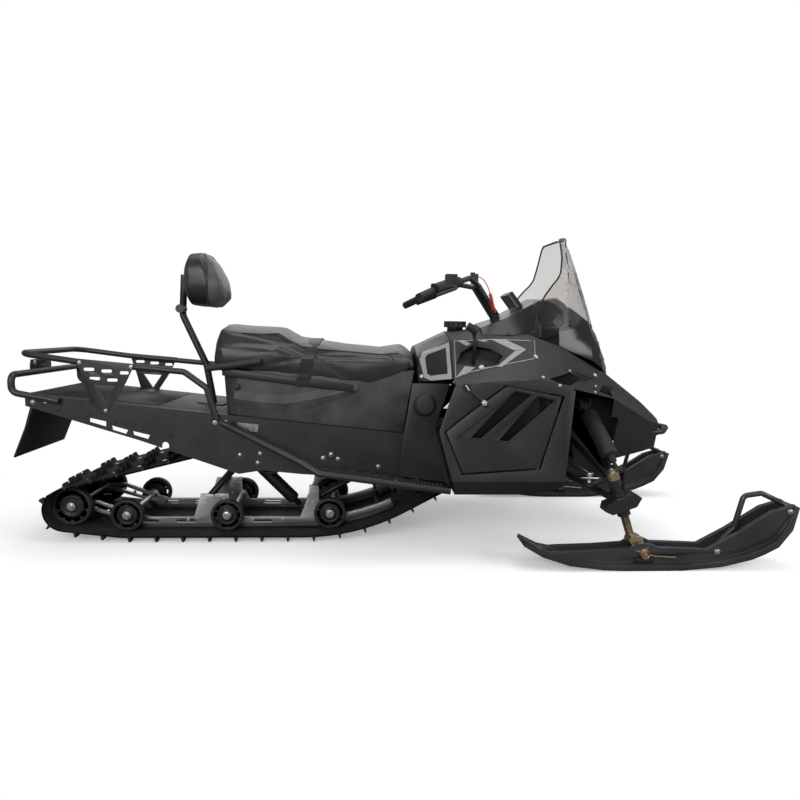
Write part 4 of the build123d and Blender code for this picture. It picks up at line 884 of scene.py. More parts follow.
def cushion(node, bm, voxel_mm, small_mm, held, cap, top):
    """Swollen cushion in two cloths, the grey one where top says so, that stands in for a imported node."""
    piece = shrunk(bm, node, voxel_mm, small_mm)
    blown_up(piece, held, cap)
    piece.data.polygons.foreach_set("use_smooth", [True] * len(piece.data.polygons))
    for entry in (VINYL, GREY_VINYL):
        piece.data.materials.append(entry)
    for face in piece.data.polygons:
        face.material_index = int(top(in_mm(face.center)))
    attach(piece, BODY_OF[node])
    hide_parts(node)
    print(node, "cushion:", len(piece.data.polygons), "faces")
    return piece


seat_piece = cushion("seat", seat_shape(), 8.0, 5.0, seat_held, seat_cap,
                     lambda spot: spot.z > line_z(SEAT_SEAM, spot.x))
pad_piece = cushion("backrest_pad", pad_shape(), 6.0, 6.0, pad_held, lambda spot: 14.0,
                    lambda spot: spot.x > line_z(PAD_SEAM, spot.z))

# %% [markdown]
# Piping covers the seat's seams: a thick one under the top panel, and thin ones along the dart and the bow in its
# side. It is laid on the swollen cover afterwards, because the remesh would have erased it: rays find the cover
# along each seam, and a round beading follows them.

# %% Seat piping
SEAM_LIFT = 0.2              # how far a beading's middle stands off its cover
PIPING, FINE_PIPING = 2.6, 1.3




def spread(points, step_mm):
    """Points along a broken line, about a step apart."""
    found = []
    for start, end in zip(points, points[1:]):
        start, end = Vector(start), Vector(end)
        count = max(1, round((end - start).length / step_mm))
        found += [start.lerp(end, index / count) for index in range(count)]
    return found + [Vector(points[-1])]


def side_bead(bm, tree, line, side, radius):
    """Beading along an (x, z) line on a cushion's right (-1) or left side."""
    hits = [touched(from_side(tree, x, z, side), (x, z)) for x, z in spread(line, 12)]
    pipe(bm, [place + normal * SEAM_LIFT * MM for place, normal in hits], radius)


def seat_piping(tree):
    bm = bmesh.new()
    for side, _ in SIDES:
        side_bead(bm, tree, SEAT_SEAM[1:-1], side, PIPING)
        side_bead(bm, tree, SEAT_DART[1:], side, FINE_PIPING)
        side_bead(bm, tree, SEAT_BOW, side, FINE_PIPING)
    shown("seat_piping", bm, "chassis", VINYL, 60.0)


seat_tree = search_tree(seat_piece.data)
seat_piping(seat_tree)
print("seat piping along", len(SEAT_SEAM) + len(SEAT_DART) + len(SEAT_BOW) - 3, "points a side")

# %% [markdown]
# A grip strap of flat webbing crosses the seat between the riders. It leans back down each side, over the side
# bars, and lies on the swollen cover, so it is swept along points that rays find there.

# %% Grip strap
STRAP_FOOT = (-241, 266, 637)        # the strap's lower end: x, distance from the middle and z
STRAP_TOP = (-200, 820)              # x and z where it reaches the seat's top
STRAP_BAR_Z = 672                    # it hangs free down to here, over the side bar
STRAP_WIDE = 47.0
STRAP_HALF_THICK = 1.4
STRAP_LIFT = 2.2
STRAP_SIDE_Z = range(684, 797, 14)   # heights at which it lies on the cover's side
STRAP_OVER_Y = range(-150, 151, 30)  # places at which it lies on the cover's top
FAR_UP = 1500


def strap_x(z):
    """Station of the strap's middle at a height."""
    share = (z - STRAP_FOOT[2]) / (STRAP_TOP[1] - STRAP_FOOT[2])
    return STRAP_FOOT[0] + share * (STRAP_TOP[0] - STRAP_FOOT[0])


def strap_line(tree):
    """The strap's middle in mm as (y, x, z): up the right side, over the seat and down the left side."""
    runs = []
    for side, _ in SIDES:
        run = [(side * STRAP_FOOT[1], strap_x(z), z) for z in (STRAP_FOOT[2], STRAP_BAR_Z)]
        for z in STRAP_SIDE_Z:
            place, _ = touched(from_side(tree, strap_x(z), z, side), "the strap")
            run.append((in_mm(place).y + side * STRAP_LIFT, strap_x(z), z))
        runs.append(run)
    x, z = STRAP_TOP
    over = []
    for y in STRAP_OVER_Y:
        place, _ = touched(tree.ray_cast(at(x, y, FAR_UP), Vector((0, 0, -1))), "the strap's top")
        over.append((y, x, in_mm(place).z + STRAP_LIFT))
    return runs[0] + over + runs[1][::-1]


def strap(tree):
    line = strap_line(tree)
    rows = []
    for index, (y, x, z) in enumerate(line):
        before, after = line[max(0, index - 1)], line[min(len(line) - 1, index + 1)]
        along = Vector((0, after[0] - before[0], after[2] - before[2])).normalized()
        out = Vector((0, -along.z, along.y)) * STRAP_HALF_THICK
        rows.append([at(x + side * STRAP_WIDE / 2, y, z) + way * out * MM for side in (-1, 1)
                     for way in (-side, side)])
    bm = bmesh.new()
    swept(bm, rows)
    piece = shown("seat_strap_finish", bm, BODY_OF["seat_strap"], WEBBING, 40.0)
    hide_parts("seat_strap")
    print("strap over", len(line), "points")


strap(seat_tree)

# %% [markdown]
# The pad's seam runs right round it, between its grey front and its black back. Rays from outside towards its
# middle find the cover, one every five degrees, and the beading closes on its own start.

# %% Backrest piping
PAD_RAYS = 72
PAD_MIDDLE = 1049            # height of the pad's middle
PAD_RADIUS = 100
PAD_CLEAR = 0.4              # metres from the pad's middle, clear of it


def pad_piping(tree):
    line = []
    for step in range(PAD_RAYS):
        angle = 2 * math.pi * step / PAD_RAYS
        heading = Vector((0, math.cos(angle), math.sin(angle)))
        x = line_z(PAD_SEAM, PAD_MIDDLE + math.sin(angle) * PAD_RADIUS)
        place, normal = touched(tree.ray_cast(at(x, 0, PAD_MIDDLE) + heading * PAD_CLEAR, -heading), step)
        line.append(place + normal * SEAM_LIFT * MM)
    bm = bmesh.new()
    pipe(bm, line + line[:1], 2.4)
    shown("backrest_piping", bm, "chassis", VINYL, 60.0)


pad_piping(search_tree(pad_piece.data))
print("pad piping by", PAD_RAYS, "rays")

# %% [markdown]
# The seat box's sides swell out to a long crease and turn back in under it, which catches the light as a slow
# bow. A blank riveted plate sits on the tunnel below.

# %% Seat box and plate
BOX_Y = 249.5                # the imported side's distance from the middle
BOX_SWELL = 9.0
BOX_SWELL_TALL = 34.0
BOX_CREASE = [(-500, 583), (-489, 581), (-401, 569), (-305, 564), (-193, 584), (-44, 620), (-20, 622)]
BOX_CREASE_LOW = [(-498, 560), (-468, 540), (-394, 525), (-297, 522), (-193, 546), (-58, 593), (-24, 610)]
PLATE_CORNERS = [(-489, 490), (-407, 483), (-411, 453), (-487, 460)]
PLATE_THICK = 0.8


def box_swell():
    bm = bmesh.new()
    for side, _ in SIDES:
        swept(bm, [[at(x, side * BOX_Y, z + BOX_SWELL_TALL), at(x, side * (BOX_Y + BOX_SWELL), z),
                    at(low_x, side * BOX_Y, low_z)]
                   for (x, z), (low_x, low_z) in zip(BOX_CREASE, BOX_CREASE_LOW)])
    shown("seat_box_swell", bm, "chassis", STIPPLE, 20.0)


def data_plate():
    bm = bmesh.new()
    plate(bm, [laid(x, z, ["tunnel"])[0] for x, z in PLATE_CORNERS], Vector((0, -PLATE_THICK, 0)) * MM)
    shown("data_plate", bm, "chassis", PLATE_ALLOY, 30.0)


box_swell()
data_plate()
print("seat box swells", BOX_SWELL, "mm")

# %% [markdown]
# Grey film is laid on the tank panel and on the hood's sides: framed panels with slanted stripes and one broad
# arrowhead. A stripe could be an image, but here each is a thin patch that is cut fine enough to follow its cover.
# The patterns are plain stripes, and the places for lettering on the hood and the doors stay bare.

# %% Stripes on the covers
COVERS = ["tank_cover", "hood"]
FILM_LIFT = 0.5
FRAME_LINE = 2.4
TANK_RING = ([(222, 746), (238, 772), (338, 812), (338, 676), (262, 664), (238, 674)],
             [(244, 748), (252, 762), (325, 792), (325, 694), (262, 682), (250, 690)])
HOOD_PANEL = [(358, 820), (520, 829), (672, 826), (660, 758), (520, 728), (400, 700), (352, 680)]
STRIPES = [
    # corners of each stripe in side view
    [(500, 829), (556, 829), (632, 792), (584, 788)],
    [(590, 786), (632, 792), (528, 724), (512, 725)],
    [(356, 684), (396, 696), (428, 720), (392, 724)],
    [(430, 706), (462, 715), (488, 724), (462, 720)],
    [(374, 819), (402, 820), (424, 808), (404, 800)],
    [(446, 824), (476, 825), (494, 820), (470, 818)],
]


def film_patch(bm, corners, side):
    """Film over (x, z) corners, laid on the covers and lifted off them by its thickness."""
    face = bm.faces.new([bm.verts.new((x, 0, z)) for x, z in corners])
    made = bmesh.ops.triangulate(bm, faces=[face])["faces"]
    for _ in range(3):
        edges = {edge for part in made for edge in part.edges}
        grown = bmesh.ops.subdivide_edges(bm, edges=list(edges), cuts=1, use_grid_fill=True)["geom"]
        made = {part for part in (*grown, *made) if part.is_valid and isinstance(part, bmesh.types.BMFace)}
    for vert in {vert for part in made for vert in part.verts}:
        place, normal = laid(vert.co.x, vert.co.z, COVERS, side)
        vert.co = place + normal * FILM_LIFT * MM


def film_frame(bm, outer, inner, side):
    """Film frame between two outlines with as many corners."""
    for index in range(len(outer)):
        after = (index + 1) % len(outer)
        film_patch(bm, [outer[index], outer[after], inner[after], inner[index]], side)


def inset(outline, width):
    """Outline drawn in by a width, for corners given anticlockwise or clockwise."""
    area = sum(a[0] * b[1] - b[0] * a[1] for a, b in zip(outline, outline[1:] + outline[:1]))
    way = 1 if area > 0 else -1
    found = []
    for index, corner in enumerate(outline):
        corner = Vector(corner)
        before = (corner - Vector(outline[index - 1])).normalized()
        after = (Vector(outline[(index + 1) % len(outline)]) - corner).normalized()
        middle = Vector((-before.y - after.y, before.x + after.x)) * way
        turn = max(0.35, middle.length / 2)
        spot = corner + middle.normalized() * width / turn
        found.append((spot.x, spot.y))
    return found


for side, name in SIDES:
    stripes = bmesh.new()
    film_frame(stripes, *TANK_RING, side)
    film_frame(stripes, HOOD_PANEL, inset(HOOD_PANEL, FRAME_LINE), side)
    for corners in STRIPES:
        film_patch(stripes, corners, side)
    shown(f"grey_stripes_{name}", stripes, "chassis", STRIPE, 60.0)
print("stripes:", len(STRIPES), "and 2 frames a side")

# %% [markdown]
# Rivets, screws and bolts are laid where the photograph shows them, on both sides, each kind in one piece. A head
# is a stack of short round or six-sided bars on a washer, which is enough to catch one highlight at this size.

# %% Fasteners
DOME = (
    # a dome head on a washer, with a dimple: heights and radii as shares of its size across, and segments
    (-0.3, 0.12, 0.72, 0.72, 18), (0.12, 0.3, 0.5, 0.44, 18), (0.3, 0.42, 0.44, 0.26, 18),
)
HEX = ((-0.3, 0.1, 0.78, 0.78, 24), (0.1, 0.55, 0.55, 0.55, 6), (0.55, 0.75, 0.3, 0.3, 12))
RIVET_LINE = ((-1158, 537), (-640, 412))
RIVET_COUNT = 6
RIVET_ACROSS = 11
RAIL_BOLT_Y = 147
RAIL_BOLT_ACROSS = 9
FASTENERS = [
    # x, z, piece that it sits on, head, size across in mm
    (-1254, 563, "tunnel", DOME, 12), (-1207, 566, "tunnel", DOME, 12), (-574, 490, "tunnel", DOME, 12),
    (-533, 491, "tunnel", DOME, 12), (-480, 363, "tunnel", DOME, 10), (-402, 369, "tunnel", DOME, 10),
    (-412, 332, "tunnel", DOME, 10), (-156, 352, "tunnel", DOME, 13), (-125, 366, "tunnel", DOME, 13),
    (-97, 348, "tunnel", DOME, 13), (62, 318, "tunnel", DOME, 13), (-490, 627, "seat_base", DOME, 22),
    (453, 721, "hood", DOME, 14), (662, 765, "hood", DOME, 14), (228, 678, "tank_cover", DOME, 13),
    (941, 689, "hood", DOME, 16), (677, 691, "hood", DOME, 9), (800, 712, "hood", DOME, 9),
    (874, 690, "hood", DOME, 9), (739, 662, "belly_shell", DOME, 9), (922, 650, "hood", DOME, 9),
    (905, 630, "hood", DOME, 9), (-1074, 716, "rack_plates", HEX, 9), (-884, 702, "rack_plates", HEX, 9),
    (-984, 532, "rack_plates", HEX, 9),
]
RAIL_BOLTS = [(-597, 100), (-572, 150), (-202, 184), (-640, 150), (-205, 135), (-720, 62), (-455, 62), (-330, 62),
              (-1040, 100), (-1090, 112)]


def bolt(bm, place, normal, across, head):
    """Fastener on a surface, its size across in mm."""
    normal = Vector(normal).normalized()
    for low, high, foot, tip, segments in head:
        start, end = [place + normal * share * across * MM for share in (low, high)]
        bar(bm, start, end, across * foot, segments, across * tip)


def fasteners():
    bright = bmesh.new()
    dark = bmesh.new()
    rivets = [Vector(RIVET_LINE[0]).lerp(Vector(RIVET_LINE[1]), index / (RIVET_COUNT - 1))
              for index in range(RIVET_COUNT)]
    for side, _ in SIDES:
        for x, z in rivets:
            bolt(dark, *laid(x, z, ["tunnel"], side), RIVET_ACROSS, DOME)
        for x, z, node, head, across in FASTENERS:
            bolt(dark if node == "seat_base" else bright, *laid(x, z, [node], side), across, head)
        for x, z in RAIL_BOLTS:
            bolt(bright, at(x, side * RAIL_BOLT_Y, z), (0, side, 0), RAIL_BOLT_ACROSS, HEX)
    shown("bright_fasteners", bright, "chassis", ZINC, 35.0)
    shown("dark_fasteners", dark, "chassis", NYLON, 35.0)


fasteners()
print("fasteners a side:", RIVET_COUNT + len(FASTENERS) + len(RAIL_BOLTS))

# %% [markdown]
# The windshield's wings are trimmed along the edge that the photograph shows, and its cut edge carries a black
# rubber beading. Few points are measured along it, so a smooth line is drawn through them first.

# %% Screen edge
SCREEN_EDGE = [
    # x and height of the sheet's cut edge in side view, from under its top corner down to its foot
    (797, 1225), (794, 1160), (784, 1098), (768, 1070), (748, 1048), (713, 1003), (690, 960), (682, 925), (682, 900),
]
SCREEN_CORNER = [(857, 0, 1253), (842, 46, 1252), (805, 108, 1240)]
SCREEN_REAR = (450, 860, 1300)           # x, lowest and highest z of what is cut away behind that edge
SCREEN_HALF = 400
BEAD_STEPS = 5


def cut_screen():
    piece = bpy.data.objects["windshield_finish"]
    x, low, high = SCREEN_REAR
    behind = [(SCREEN_EDGE[-1][0], low), (x, low), (x, high), (SCREEN_EDGE[0][0], high)]
    bm = bmesh.new()
    prism(bm, SCREEN_EDGE + behind, -SCREEN_HALF, SCREEN_HALF)
    cutter = linked("screen_cutter", mesh_of("screen_cutter", bm))
    trim = piece.modifiers.new("trim", "BOOLEAN")
    trim.operation = "DIFFERENCE"
    trim.object = cutter
    applied(piece)
    bpy.data.objects.remove(cutter)


def rounded(points):
    """Smooth line through points, which bends a little out at each corner."""
    line = []
    for before, start, end, after in zip(points[:1] + points, points, points[1:], points[2:] + points[-1:]):
        for step in range(BEAD_STEPS):
            share = step / BEAD_STEPS
            bend = ((start - before) + (end - start)) / 2 * share * (1 - share) ** 2
            leave = ((end - start) + (after - end)) / 2 * share ** 2 * (1 - share)
            line.append(start.lerp(end, share) + (bend - leave) * 0.4)
    return line + points[-1:]


def screen_bead():
    half = [at(x, -y, z) for x, y, z in SCREEN_CORNER]
    half += [laid(x + 2, z, ["windshield"])[0] for x, z in SCREEN_EDGE]
    bm = bmesh.new()
    pipe(bm, rounded(half[::-1] + [Vector((spot.x, -spot.y, spot.z)) for spot in half[1:]]), 3.6)
    shown("screen_bead", bm, "chassis", GRIP_RUBBER, 60.0)


cut_screen()
screen_bead()
print("screen edge from", len(SCREEN_CORNER) + len(SCREEN_EDGE), "points a side")

# %% [markdown]
# The lamps sit behind clear lenses in the pod's face, each over a bright bowl, and the tail light has its red lens.
# Their corners are found on the pod by rays from the front, because its face leans back.

# %% Lamps
LAMP_CORNERS = [(-150, 762), (-52, 742), (-40, 800), (-104, 826)]
FAR_AHEAD = 1200
AHEAD = Vector((1, 0, 0)) * MM           # a millimetre to the nose
TAIL_RIM = 0.004                         # metres of housing beside the red lens
TAIL_BAND = (0.046, 0.011)               # metres from the housing's top down to the lens's lower and upper edge


def headlamps():
    glass = bmesh.new()
    bowls = bmesh.new()
    pod = search_tree(frame["nodes"]["lamp_pod"].data)
    for side, _ in SIDES:
        faces = [touched(pod.ray_cast(at(FAR_AHEAD, side * y, z), Vector((-1, 0, 0))), "the lamp")[0]
                 for y, z in LAMP_CORNERS]
        plate(glass, [face + AHEAD for face in faces], AHEAD * 4)
        plate(bowls, [face + AHEAD * 0.5 for face in faces], AHEAD)
    soften(glass, 1.5)
    shown("headlamp_lenses", glass, "chassis", CLEAR_LENS, 30.0)
    shown("headlamp_bowls", bowls, "chassis", CAST, 30.0)


def tail_lens():
    low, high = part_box("tail_light")
    right, left = low[1] + TAIL_RIM, high[1] - TAIL_RIM
    bottom, top = [high[2] - down for down in TAIL_BAND]
    red = bmesh.new()
    corners = [(low[0], y, z) for y, z in ((right, bottom), (left, bottom), (left, top), (right, top))]
    plate(red, corners, AHEAD * -5)
    soften(red, 1.5)
    shown("tail_lens", red, "chassis", RED_LENS, 30.0)


headlamps()
tail_lens()
print("lenses: 2 at the front, 1 at the rear")

# %% [markdown]
# The red stop lanyard runs from its switch on the bar, down in front of it as a curly cord, and back up to its clip
# on the riser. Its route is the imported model's, and the curl is wound round the smooth line of that route.

# %% Route of the lanyard
LANYARD = [
    (462, -90, 1086), (484, -96, 1081), (504, -104, 1058), (518, -110, 1024), (528, -112, 986), (536, -108, 951),
    (548, -90, 933), (557, -64, 940), (552, -42, 958), (542, -25, 967),
]
LANYARD_D = 4.2
COIL_R = 6.2
COIL_TURNS = 13
COIL_PART = (0.36, 0.66)     # share of the route's length where the curl starts and ends
TURN_POINTS = 14


def nurbs_line(name, points):
    """Curve object of one smooth open spline through control points in metres."""
    curve = bpy.data.curves.new(name, "CURVE")
    curve.dimensions = "3D"
    spline = curve.splines.new("NURBS")
    spline.points.add(len(points) - 1)
    for slot, point in zip(spline.points, points):
        slot.co = (*point, 1.0)
    spline.order_u = 3
    spline.use_endpoint_u = True
    spline.resolution_u = 12
    return linked(name, curve)


def line_of(curve):
    """Points of a curve's plain line, and how far along it each one lies."""
    copy = curve.copy()
    copy.data = curve.data.copy()
    copy.data.bevel_depth = 0.0
    copy.data.use_fill_caps = False
    line = [vert.co.copy() for vert in bpy.data.meshes.new_from_object(copy).vertices]
    bpy.data.objects.remove(copy)
    reach = [0.0]
    for before, after in zip(line, line[1:]):
        reach.append(reach[-1] + (after - before).length)
    return line, reach


def along_line(line, reach, share):
    """Point and heading at a share of a line's length."""
    goal = share * reach[-1]
    index = next((index for index in range(1, len(line)) if reach[index] >= goal), len(line) - 1)
    part = min(1.0, (goal - reach[index - 1]) / (reach[index] - reach[index - 1]))
    return line[index - 1].lerp(line[index], part), (line[index] - line[index - 1]).normalized()


def curled(line, reach):
    """Points of the cord: straight, then wound round its route, then straight again."""
    start, end = COIL_PART
    count = COIL_TURNS * TURN_POINTS
    points = [along_line(line, reach, start * index / 8)[0] for index in range(8)]
    for index in range(count + 1):
        centre, heading = along_line(line, reach, start + (end - start) * index / count)
        across = heading.cross(Vector((0, 1, 0))).normalized()
        other = heading.cross(across)
        grow = min(1.0, index / TURN_POINTS, (count - index) / TURN_POINTS)
        angle = 2 * math.pi * index / TURN_POINTS
        points.append(centre + (across * math.cos(angle) + other * math.sin(angle)) * COIL_R * grow * MM)
    return points + [along_line(line, reach, end + (1 - end) * index / 9)[0] for index in range(1, 10)]


guide = nurbs_line("lanyard_guide", [at(*point) for point in LANYARD])
route, route_reach = line_of(guide)
bpy.data.objects.remove(guide)
print("route", round(route_reach[-1], 3), "m")

# %% [markdown]
# The cord is one curve with a round bevel, so it has no seams. Its length is measured along its own line with the
# curl drawn out, because that is how much cord the real lanyard takes.

# %% Stop lanyard


def lanyard():
    cord = nurbs_line("stop_lanyard_cord", curled(route, route_reach))
    cord.data.bevel_depth = LANYARD_D / 2 * MM
    cord.data.bevel_resolution = 3
    cord.data.use_fill_caps = True
    cord.data.materials.append(COIL_RED)
    length = line_of(cord)[1][-1]
    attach(cord, BODY_OF["stop_lanyard"])
    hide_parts("stop_lanyard")
    print("lanyard", round(length, 3), "m")


lanyard()

# %% [markdown]
# The kingpins are black sleeves over yellow zinc forgings. The ski's saddle holds a small torsion spring on a gold
# bolt over a black rubber block, and bright bolts hold the hoop.

# %% Kingpins and ski fittings
SLEEVE_Z = (150, 325)
SKI_Y = 490
SKI_PIN = (1040, 55)         # x and z of the pin that a ski rocks on
SADDLE = (44, 46, 52, 53)    # from a ski's middle to its wall, spring, rubber face and bolt head
SPRING = {"radius": 15, "wire": 2.2, "turns": 3, "pitch": 4.2}
SPRING_POINTS = 14           # a turn
SPRING_ARM = (Vector((0.02, 0, -0.004)), Vector((0.1, 0, -0.01)))
RUBBER_BLOCK = [(1002, 24), (1078, 24), (1072, 42), (1010, 42)]
HOOP_BOLTS = [(1318, 62), (1588, 214)]
KINGPIN_NUTS = [(852, 450, 304, (0, 0, 1), 15), (919, 490, 352, (-0.33, 0, 0.94), 20)]


def kingpins():
    """Gives the spindles' sleeves their black coat."""
    for node in ("spindle_right", "spindle_left"):
        piece = bpy.data.objects[node + "_finish"]
        piece.data.materials.append(POWDER)
        for face in piece.data.polygons:
            face.material_index = int(SLEEVE_Z[0] < in_mm(face.center).z < SLEEVE_Z[1])


def spring(bm, centre, radius, wire, turns, pitch, out):
    """Spring wound outwards round a pin across the machine, with an arm that leads ahead."""
    points = []
    for index in range(turns * SPRING_POINTS + 1):
        angle = 2 * math.pi * index / SPRING_POINTS
        points.append(centre + Vector((math.cos(angle) * radius, out * pitch * index / SPRING_POINTS,
                                       math.sin(angle) * radius)) * MM)
    pipe(bm, points, wire)
    pipe(bm, [points[-1], *(points[-1] + reach for reach in SPRING_ARM)], wire)


def ski_fittings(side, name):
    gold, black, silver, nuts = [bmesh.new() for _ in range(4)]
    x, z = SKI_PIN
    for out in (-1, 1):
        near, middle, far, outer = [side * SKI_Y + out * across for across in SADDLE]
        bar(gold, at(x, near, z), at(x, outer, z), 12, 24)
        bolt(gold, at(x, outer, z), (0, out, 0), 15, HEX)
        spring(gold, at(x, middle, z), out=out, **SPRING)
        prism(black, RUBBER_BLOCK, *sorted((middle - out, far)))
        for hoop_x, hoop_z in HOOP_BOLTS:
            bolt(silver, at(hoop_x, near, hoop_z), (0, out, 0), 16, DOME)
            bolt(silver, at(hoop_x, near + out * 3, hoop_z), (0, out, 0), 10, HEX)
    for nut_x, nut_y, nut_z, normal, across in KINGPIN_NUTS:
        bolt(nuts, at(nut_x, side * nut_y, nut_z), normal, across, HEX)
    soften(black, 2.0)
    shown(f"ski_gold_{name}", gold, f"ski_{name}", YELLOW_ZINC, 35.0)
    shown(f"ski_bolts_{name}", silver, f"ski_{name}", ZINC, 35.0)
    shown(f"ski_blocks_{name}", black, f"ski_{name}", GRIP_RUBBER, 35.0)
    shown(f"kingpin_nuts_{name}", nuts, f"spindle_{name}", ZINC, 35.0)


kingpins()
for side, name in SIDES:
    ski_fittings(side, name)
print("ski pins", SKI_Y, "mm from the middle")

# %% [markdown]
# The foot boards have punched teeth beside their edge tube, which hold a boot in snow. Each tooth is one small
# plate with a narrow top, and they are spaced evenly along the tube's bends.

# %% Foot board teeth
TEETH_LINE = [
    # x, z and distance from the middle of the row's corners
    (-512, 478, 276), (-225, 362, 404), (-160, 328, 420), (215, 278, 420), (300, 268, 420),
]
TEETH_PITCH = 13.0
TOOTH = [(-5.5, 8), (5.5, 8), (2, 21), (-2, 21)]     # along the row and up
TOOTH_THICK = 3.0


def teeth():
    bm = bmesh.new()
    for side, _ in SIDES:
        corners = [Vector((x, side * y, z)) for x, z, y in TEETH_LINE]
        for start, end in zip(corners, corners[1:]):
            count = int((end - start).length / TEETH_PITCH)
            heading = (end - start).normalized()
            for index in range(count):
                foot = start.lerp(end, (index + 0.5) / count)
                tooth = [foot + heading * ahead + Vector((0, 0, up)) for ahead, up in TOOTH]
                plate(bm, [at(*corner) for corner in tooth], Vector((0, side * TOOTH_THICK, 0)) * MM)
    shown("board_teeth", bm, "chassis", POWDER, 30.0)


teeth()
print("teeth", TEETH_PITCH, "mm apart")

# %% [markdown]
# The doors have raised lips round their vents with a wire mesh behind, and so have the hood's vents. Wires are
# crossed at a slant and end at the vent's outline, and a dark sheet behind the hood's mesh keeps the sky out.

# %% Vents
DOOR_VENTS = [[(355, 465), (568, 637), (633, 626), (442, 462)], [(465, 458), (656, 619), (722, 604), (545, 451)]]
HOOD_VENTS = [[(702, 685), (793, 706), (866, 683), (771, 655)], [(928, 630), (968, 647), (1000, 638), (1000, 607)]]
DOOR_MESH_Y = 396
HOOD_MESH_Y = (318, 236)
BACKING = (12, 16)           # how far behind the hood's mesh the dark sheet starts and ends
WIRE_PITCH = 11


def lips(side, name):
    bm = bmesh.new()
    for outline in DOOR_VENTS:
        wide = inset(outline, -5)
        hits = [laid(x, z, [f"door_{name}"], side) for x, z in spread(wide + wide[:1], 20)]
        pipe(bm, [place - normal * 0.5 * MM for place, normal in hits], 2.6)
    shown(f"vent_lips_{name}", bm, f"door_{name}", GRAINED, 60.0)


def wires(bm, outline, y):
    """Crossed wires over an (x, z) outline, in the plane y."""
    corners = [Vector(corner) for corner in outline]
    left, right = min(corner.x for corner in corners), max(corner.x for corner in corners)
    low, high = min(corner.y for corner in corners), max(corner.y for corner in corners)
    for slope in (1, -1):
        first = left - (high - low) if slope > 0 else left
        for number in range(int((right - left + high - low) / WIRE_PITCH)):
            shift = first + number * WIRE_PITCH
            hits = []
            for a, b in zip(corners, corners[1:] + corners[:1]):
                over_a, over_b = [spot.y - low - slope * (spot.x - shift) for spot in (a, b)]
                if (over_a < 0) != (over_b < 0):
                    hits.append(a.lerp(b, over_a / (over_a - over_b)))
            if len(hits) == 2 and (hits[0] - hits[1]).length > 6:
                start, end = [at(hit.x, y, hit.y) for hit in hits]
                bar(bm, start, end, 0.9, 6)


def door_mesh(side, name):
    bm = bmesh.new()
    for outline in DOOR_VENTS:
        wires(bm, outline, side * DOOR_MESH_Y)
    shown(f"door_mesh_{name}", bm, f"door_{name}", NYLON, 30.0)


def hood_mesh():
    bm = bmesh.new()
    for side, _ in SIDES:
        for outline, y in zip(HOOD_VENTS, HOOD_MESH_Y):
            wires(bm, outline, side * y)
            middle = sum((Vector(corner) for corner in outline), Vector((0, 0))) / len(outline)
            wide = [middle + (Vector(corner) - middle) * 1.5 for corner in outline]
            prism(bm, wide, *sorted(side * (y - behind) for behind in BACKING))
    shown("hood_mesh", bm, "chassis", NYLON, 30.0)


for side, name in SIDES:
    lips(side, name)
for side, name in SIDES:
    door_mesh(side, name)
hood_mesh()
print("vents a side:", len(DOOR_VENTS) + len(HOOD_VENTS))

# %% [markdown]
# Some gaps between the covers would let the floor shine through. On the machine the nose's sides reach further
# down and a lap flange closes the joint under the hood. Behind the knee cover a plain dark block is painted shade
# where that gap shows dark.

# %% Nose sides, flange and painted shade block
NOSE_SIDES = [
    # station, and distance from the middle and z of the side's lower and upper edge
    (1040, (206, 418), (262, 576)), (1079, (150, 331), (245, 559)), (1200, (132, 358), (185, 495)),
    (1262, (110, 371), (140, 478)),
]
NOSE_SKIN = (0.6, -5)        # outer and inner face of the nose's side, from its measured face
FLANGE = [(346, 653), (384, 664), (467, 674), (523, 678), (548, 665), (580, 657), (622, 648), (700, 632)]
FLANGE_SECTION = [(-1.5, -16), (1.5, -16), (1.5, 14), (-1.5, 14)]    # across and up from the joint
FLANGE_SUNK = 6
# x and z of the dark block behind the knee cover, which is painted shade, and its half width across
SHADE_BLOCK_OUTLINE = [(222, 602), (330, 602), (330, 668), (222, 652)]
SHADE_BLOCK_HALF = 200


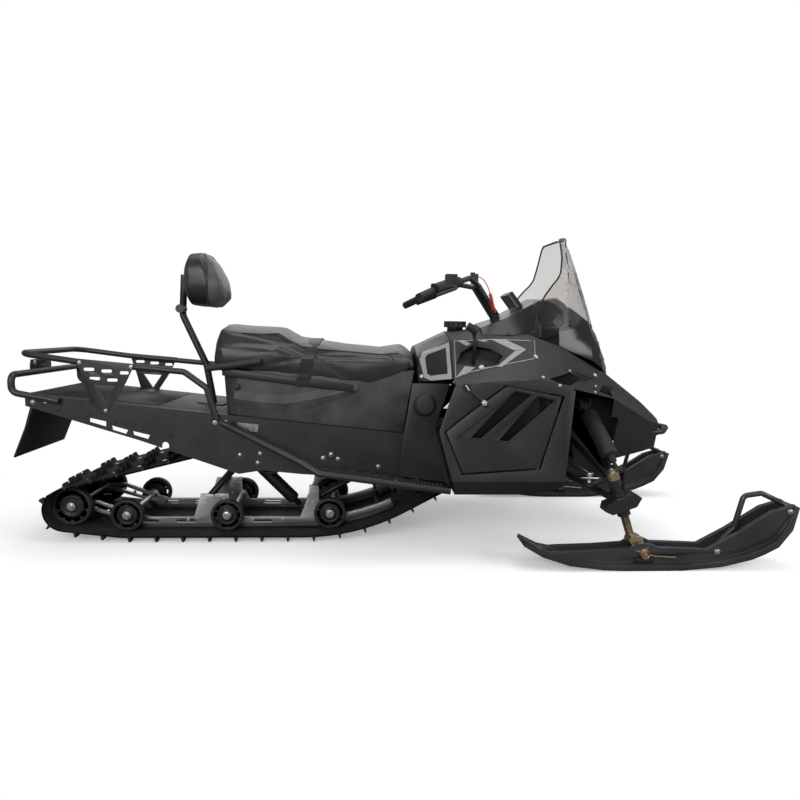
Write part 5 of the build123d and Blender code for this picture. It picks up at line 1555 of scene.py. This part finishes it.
def nose_skirts():
    """Lower sides of the nose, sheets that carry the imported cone's sides down to their real edge."""
    outer, inner = NOSE_SKIN
    bm = bmesh.new()
    for side, _ in SIDES:
        rows = []
        for x, (low_y, low_z), (high_y, high_z) in NOSE_SIDES:
            section = [(high_y + outer, high_z), (low_y + outer, low_z), (low_y + inner, low_z),
                       (high_y + inner, high_z)]
            rows.append([at(x, side * y, z) for y, z in section])
        swept(bm, rows)
    shown("nose_skirts", bm, "chassis", GRAINED, 30.0)


# The dark block behind the knee cover is painted shade: it fills the gap where only shade shows.
def painted_shade_block():
    bm = bmesh.new()
    prism(bm, SHADE_BLOCK_OUTLINE, -SHADE_BLOCK_HALF, SHADE_BLOCK_HALF)
    shown("painted_shade_block", bm, "chassis", NYLON, 30.0)


def flanges():
    bm = bmesh.new()
    for side, name in SIDES:
        rows = []
        for x, z in FLANGE:
            place, _ = laid(x, z + FLANGE_SECTION[2][1], ["hood", "belly_shell", f"door_{name}"], side)
            y = in_mm(place).y - side * FLANGE_SUNK
            rows.append([at(x, y + across, z + up) for across, up in FLANGE_SECTION])
        swept(bm, rows)
    shown("shell_flanges", bm, "chassis", GRAINED, 30.0)


nose_skirts()
painted_shade_block()
flanges()
print("gaps closed: nose, hood joint, knee")

# %% [markdown]
# Each door is held by a rubber strap. Its eye sits on the shell with a bright hook through it, and a bolt holds the
# strap's other end on the door, so the bolt swings with the door and the hook stays.

# %% Latch hooks
LATCH_EYE = (384, 650)
LATCH_HOOK = (402, 626)
LATCH_BOLT = (448, 596)


def latch_hooks():
    rubber = bmesh.new()
    steel = bmesh.new()
    for side, name in SIDES:
        place, normal = laid(*LATCH_EYE, ["hood", "belly_shell"], side)
        bar(rubber, place - normal * 2 * MM, place + normal * 7 * MM, 15, 24)
        out = normal * 10 * MM
        across = at(LATCH_HOOK[0], 0, LATCH_HOOK[1]) - at(LATCH_EYE[0], 0, LATCH_EYE[1])
        bar(steel, place + out - across * 0.35, place + out + across, 3.6, 12)
        door_bolt = bmesh.new()
        bolt(door_bolt, *laid(*LATCH_BOLT, [f"latch_{name}", f"door_{name}"], side), 15, DOME)
        shown(f"latch_bolt_{name}", door_bolt, f"door_{name}", ZINC, 35.0)
    shown("latch_eyes", rubber, "chassis", GRIP_RUBBER, 35.0)
    shown("latch_hooks", steel, "chassis", ZINC, 35.0)


latch_hooks()
print("latches:", len(SIDES))
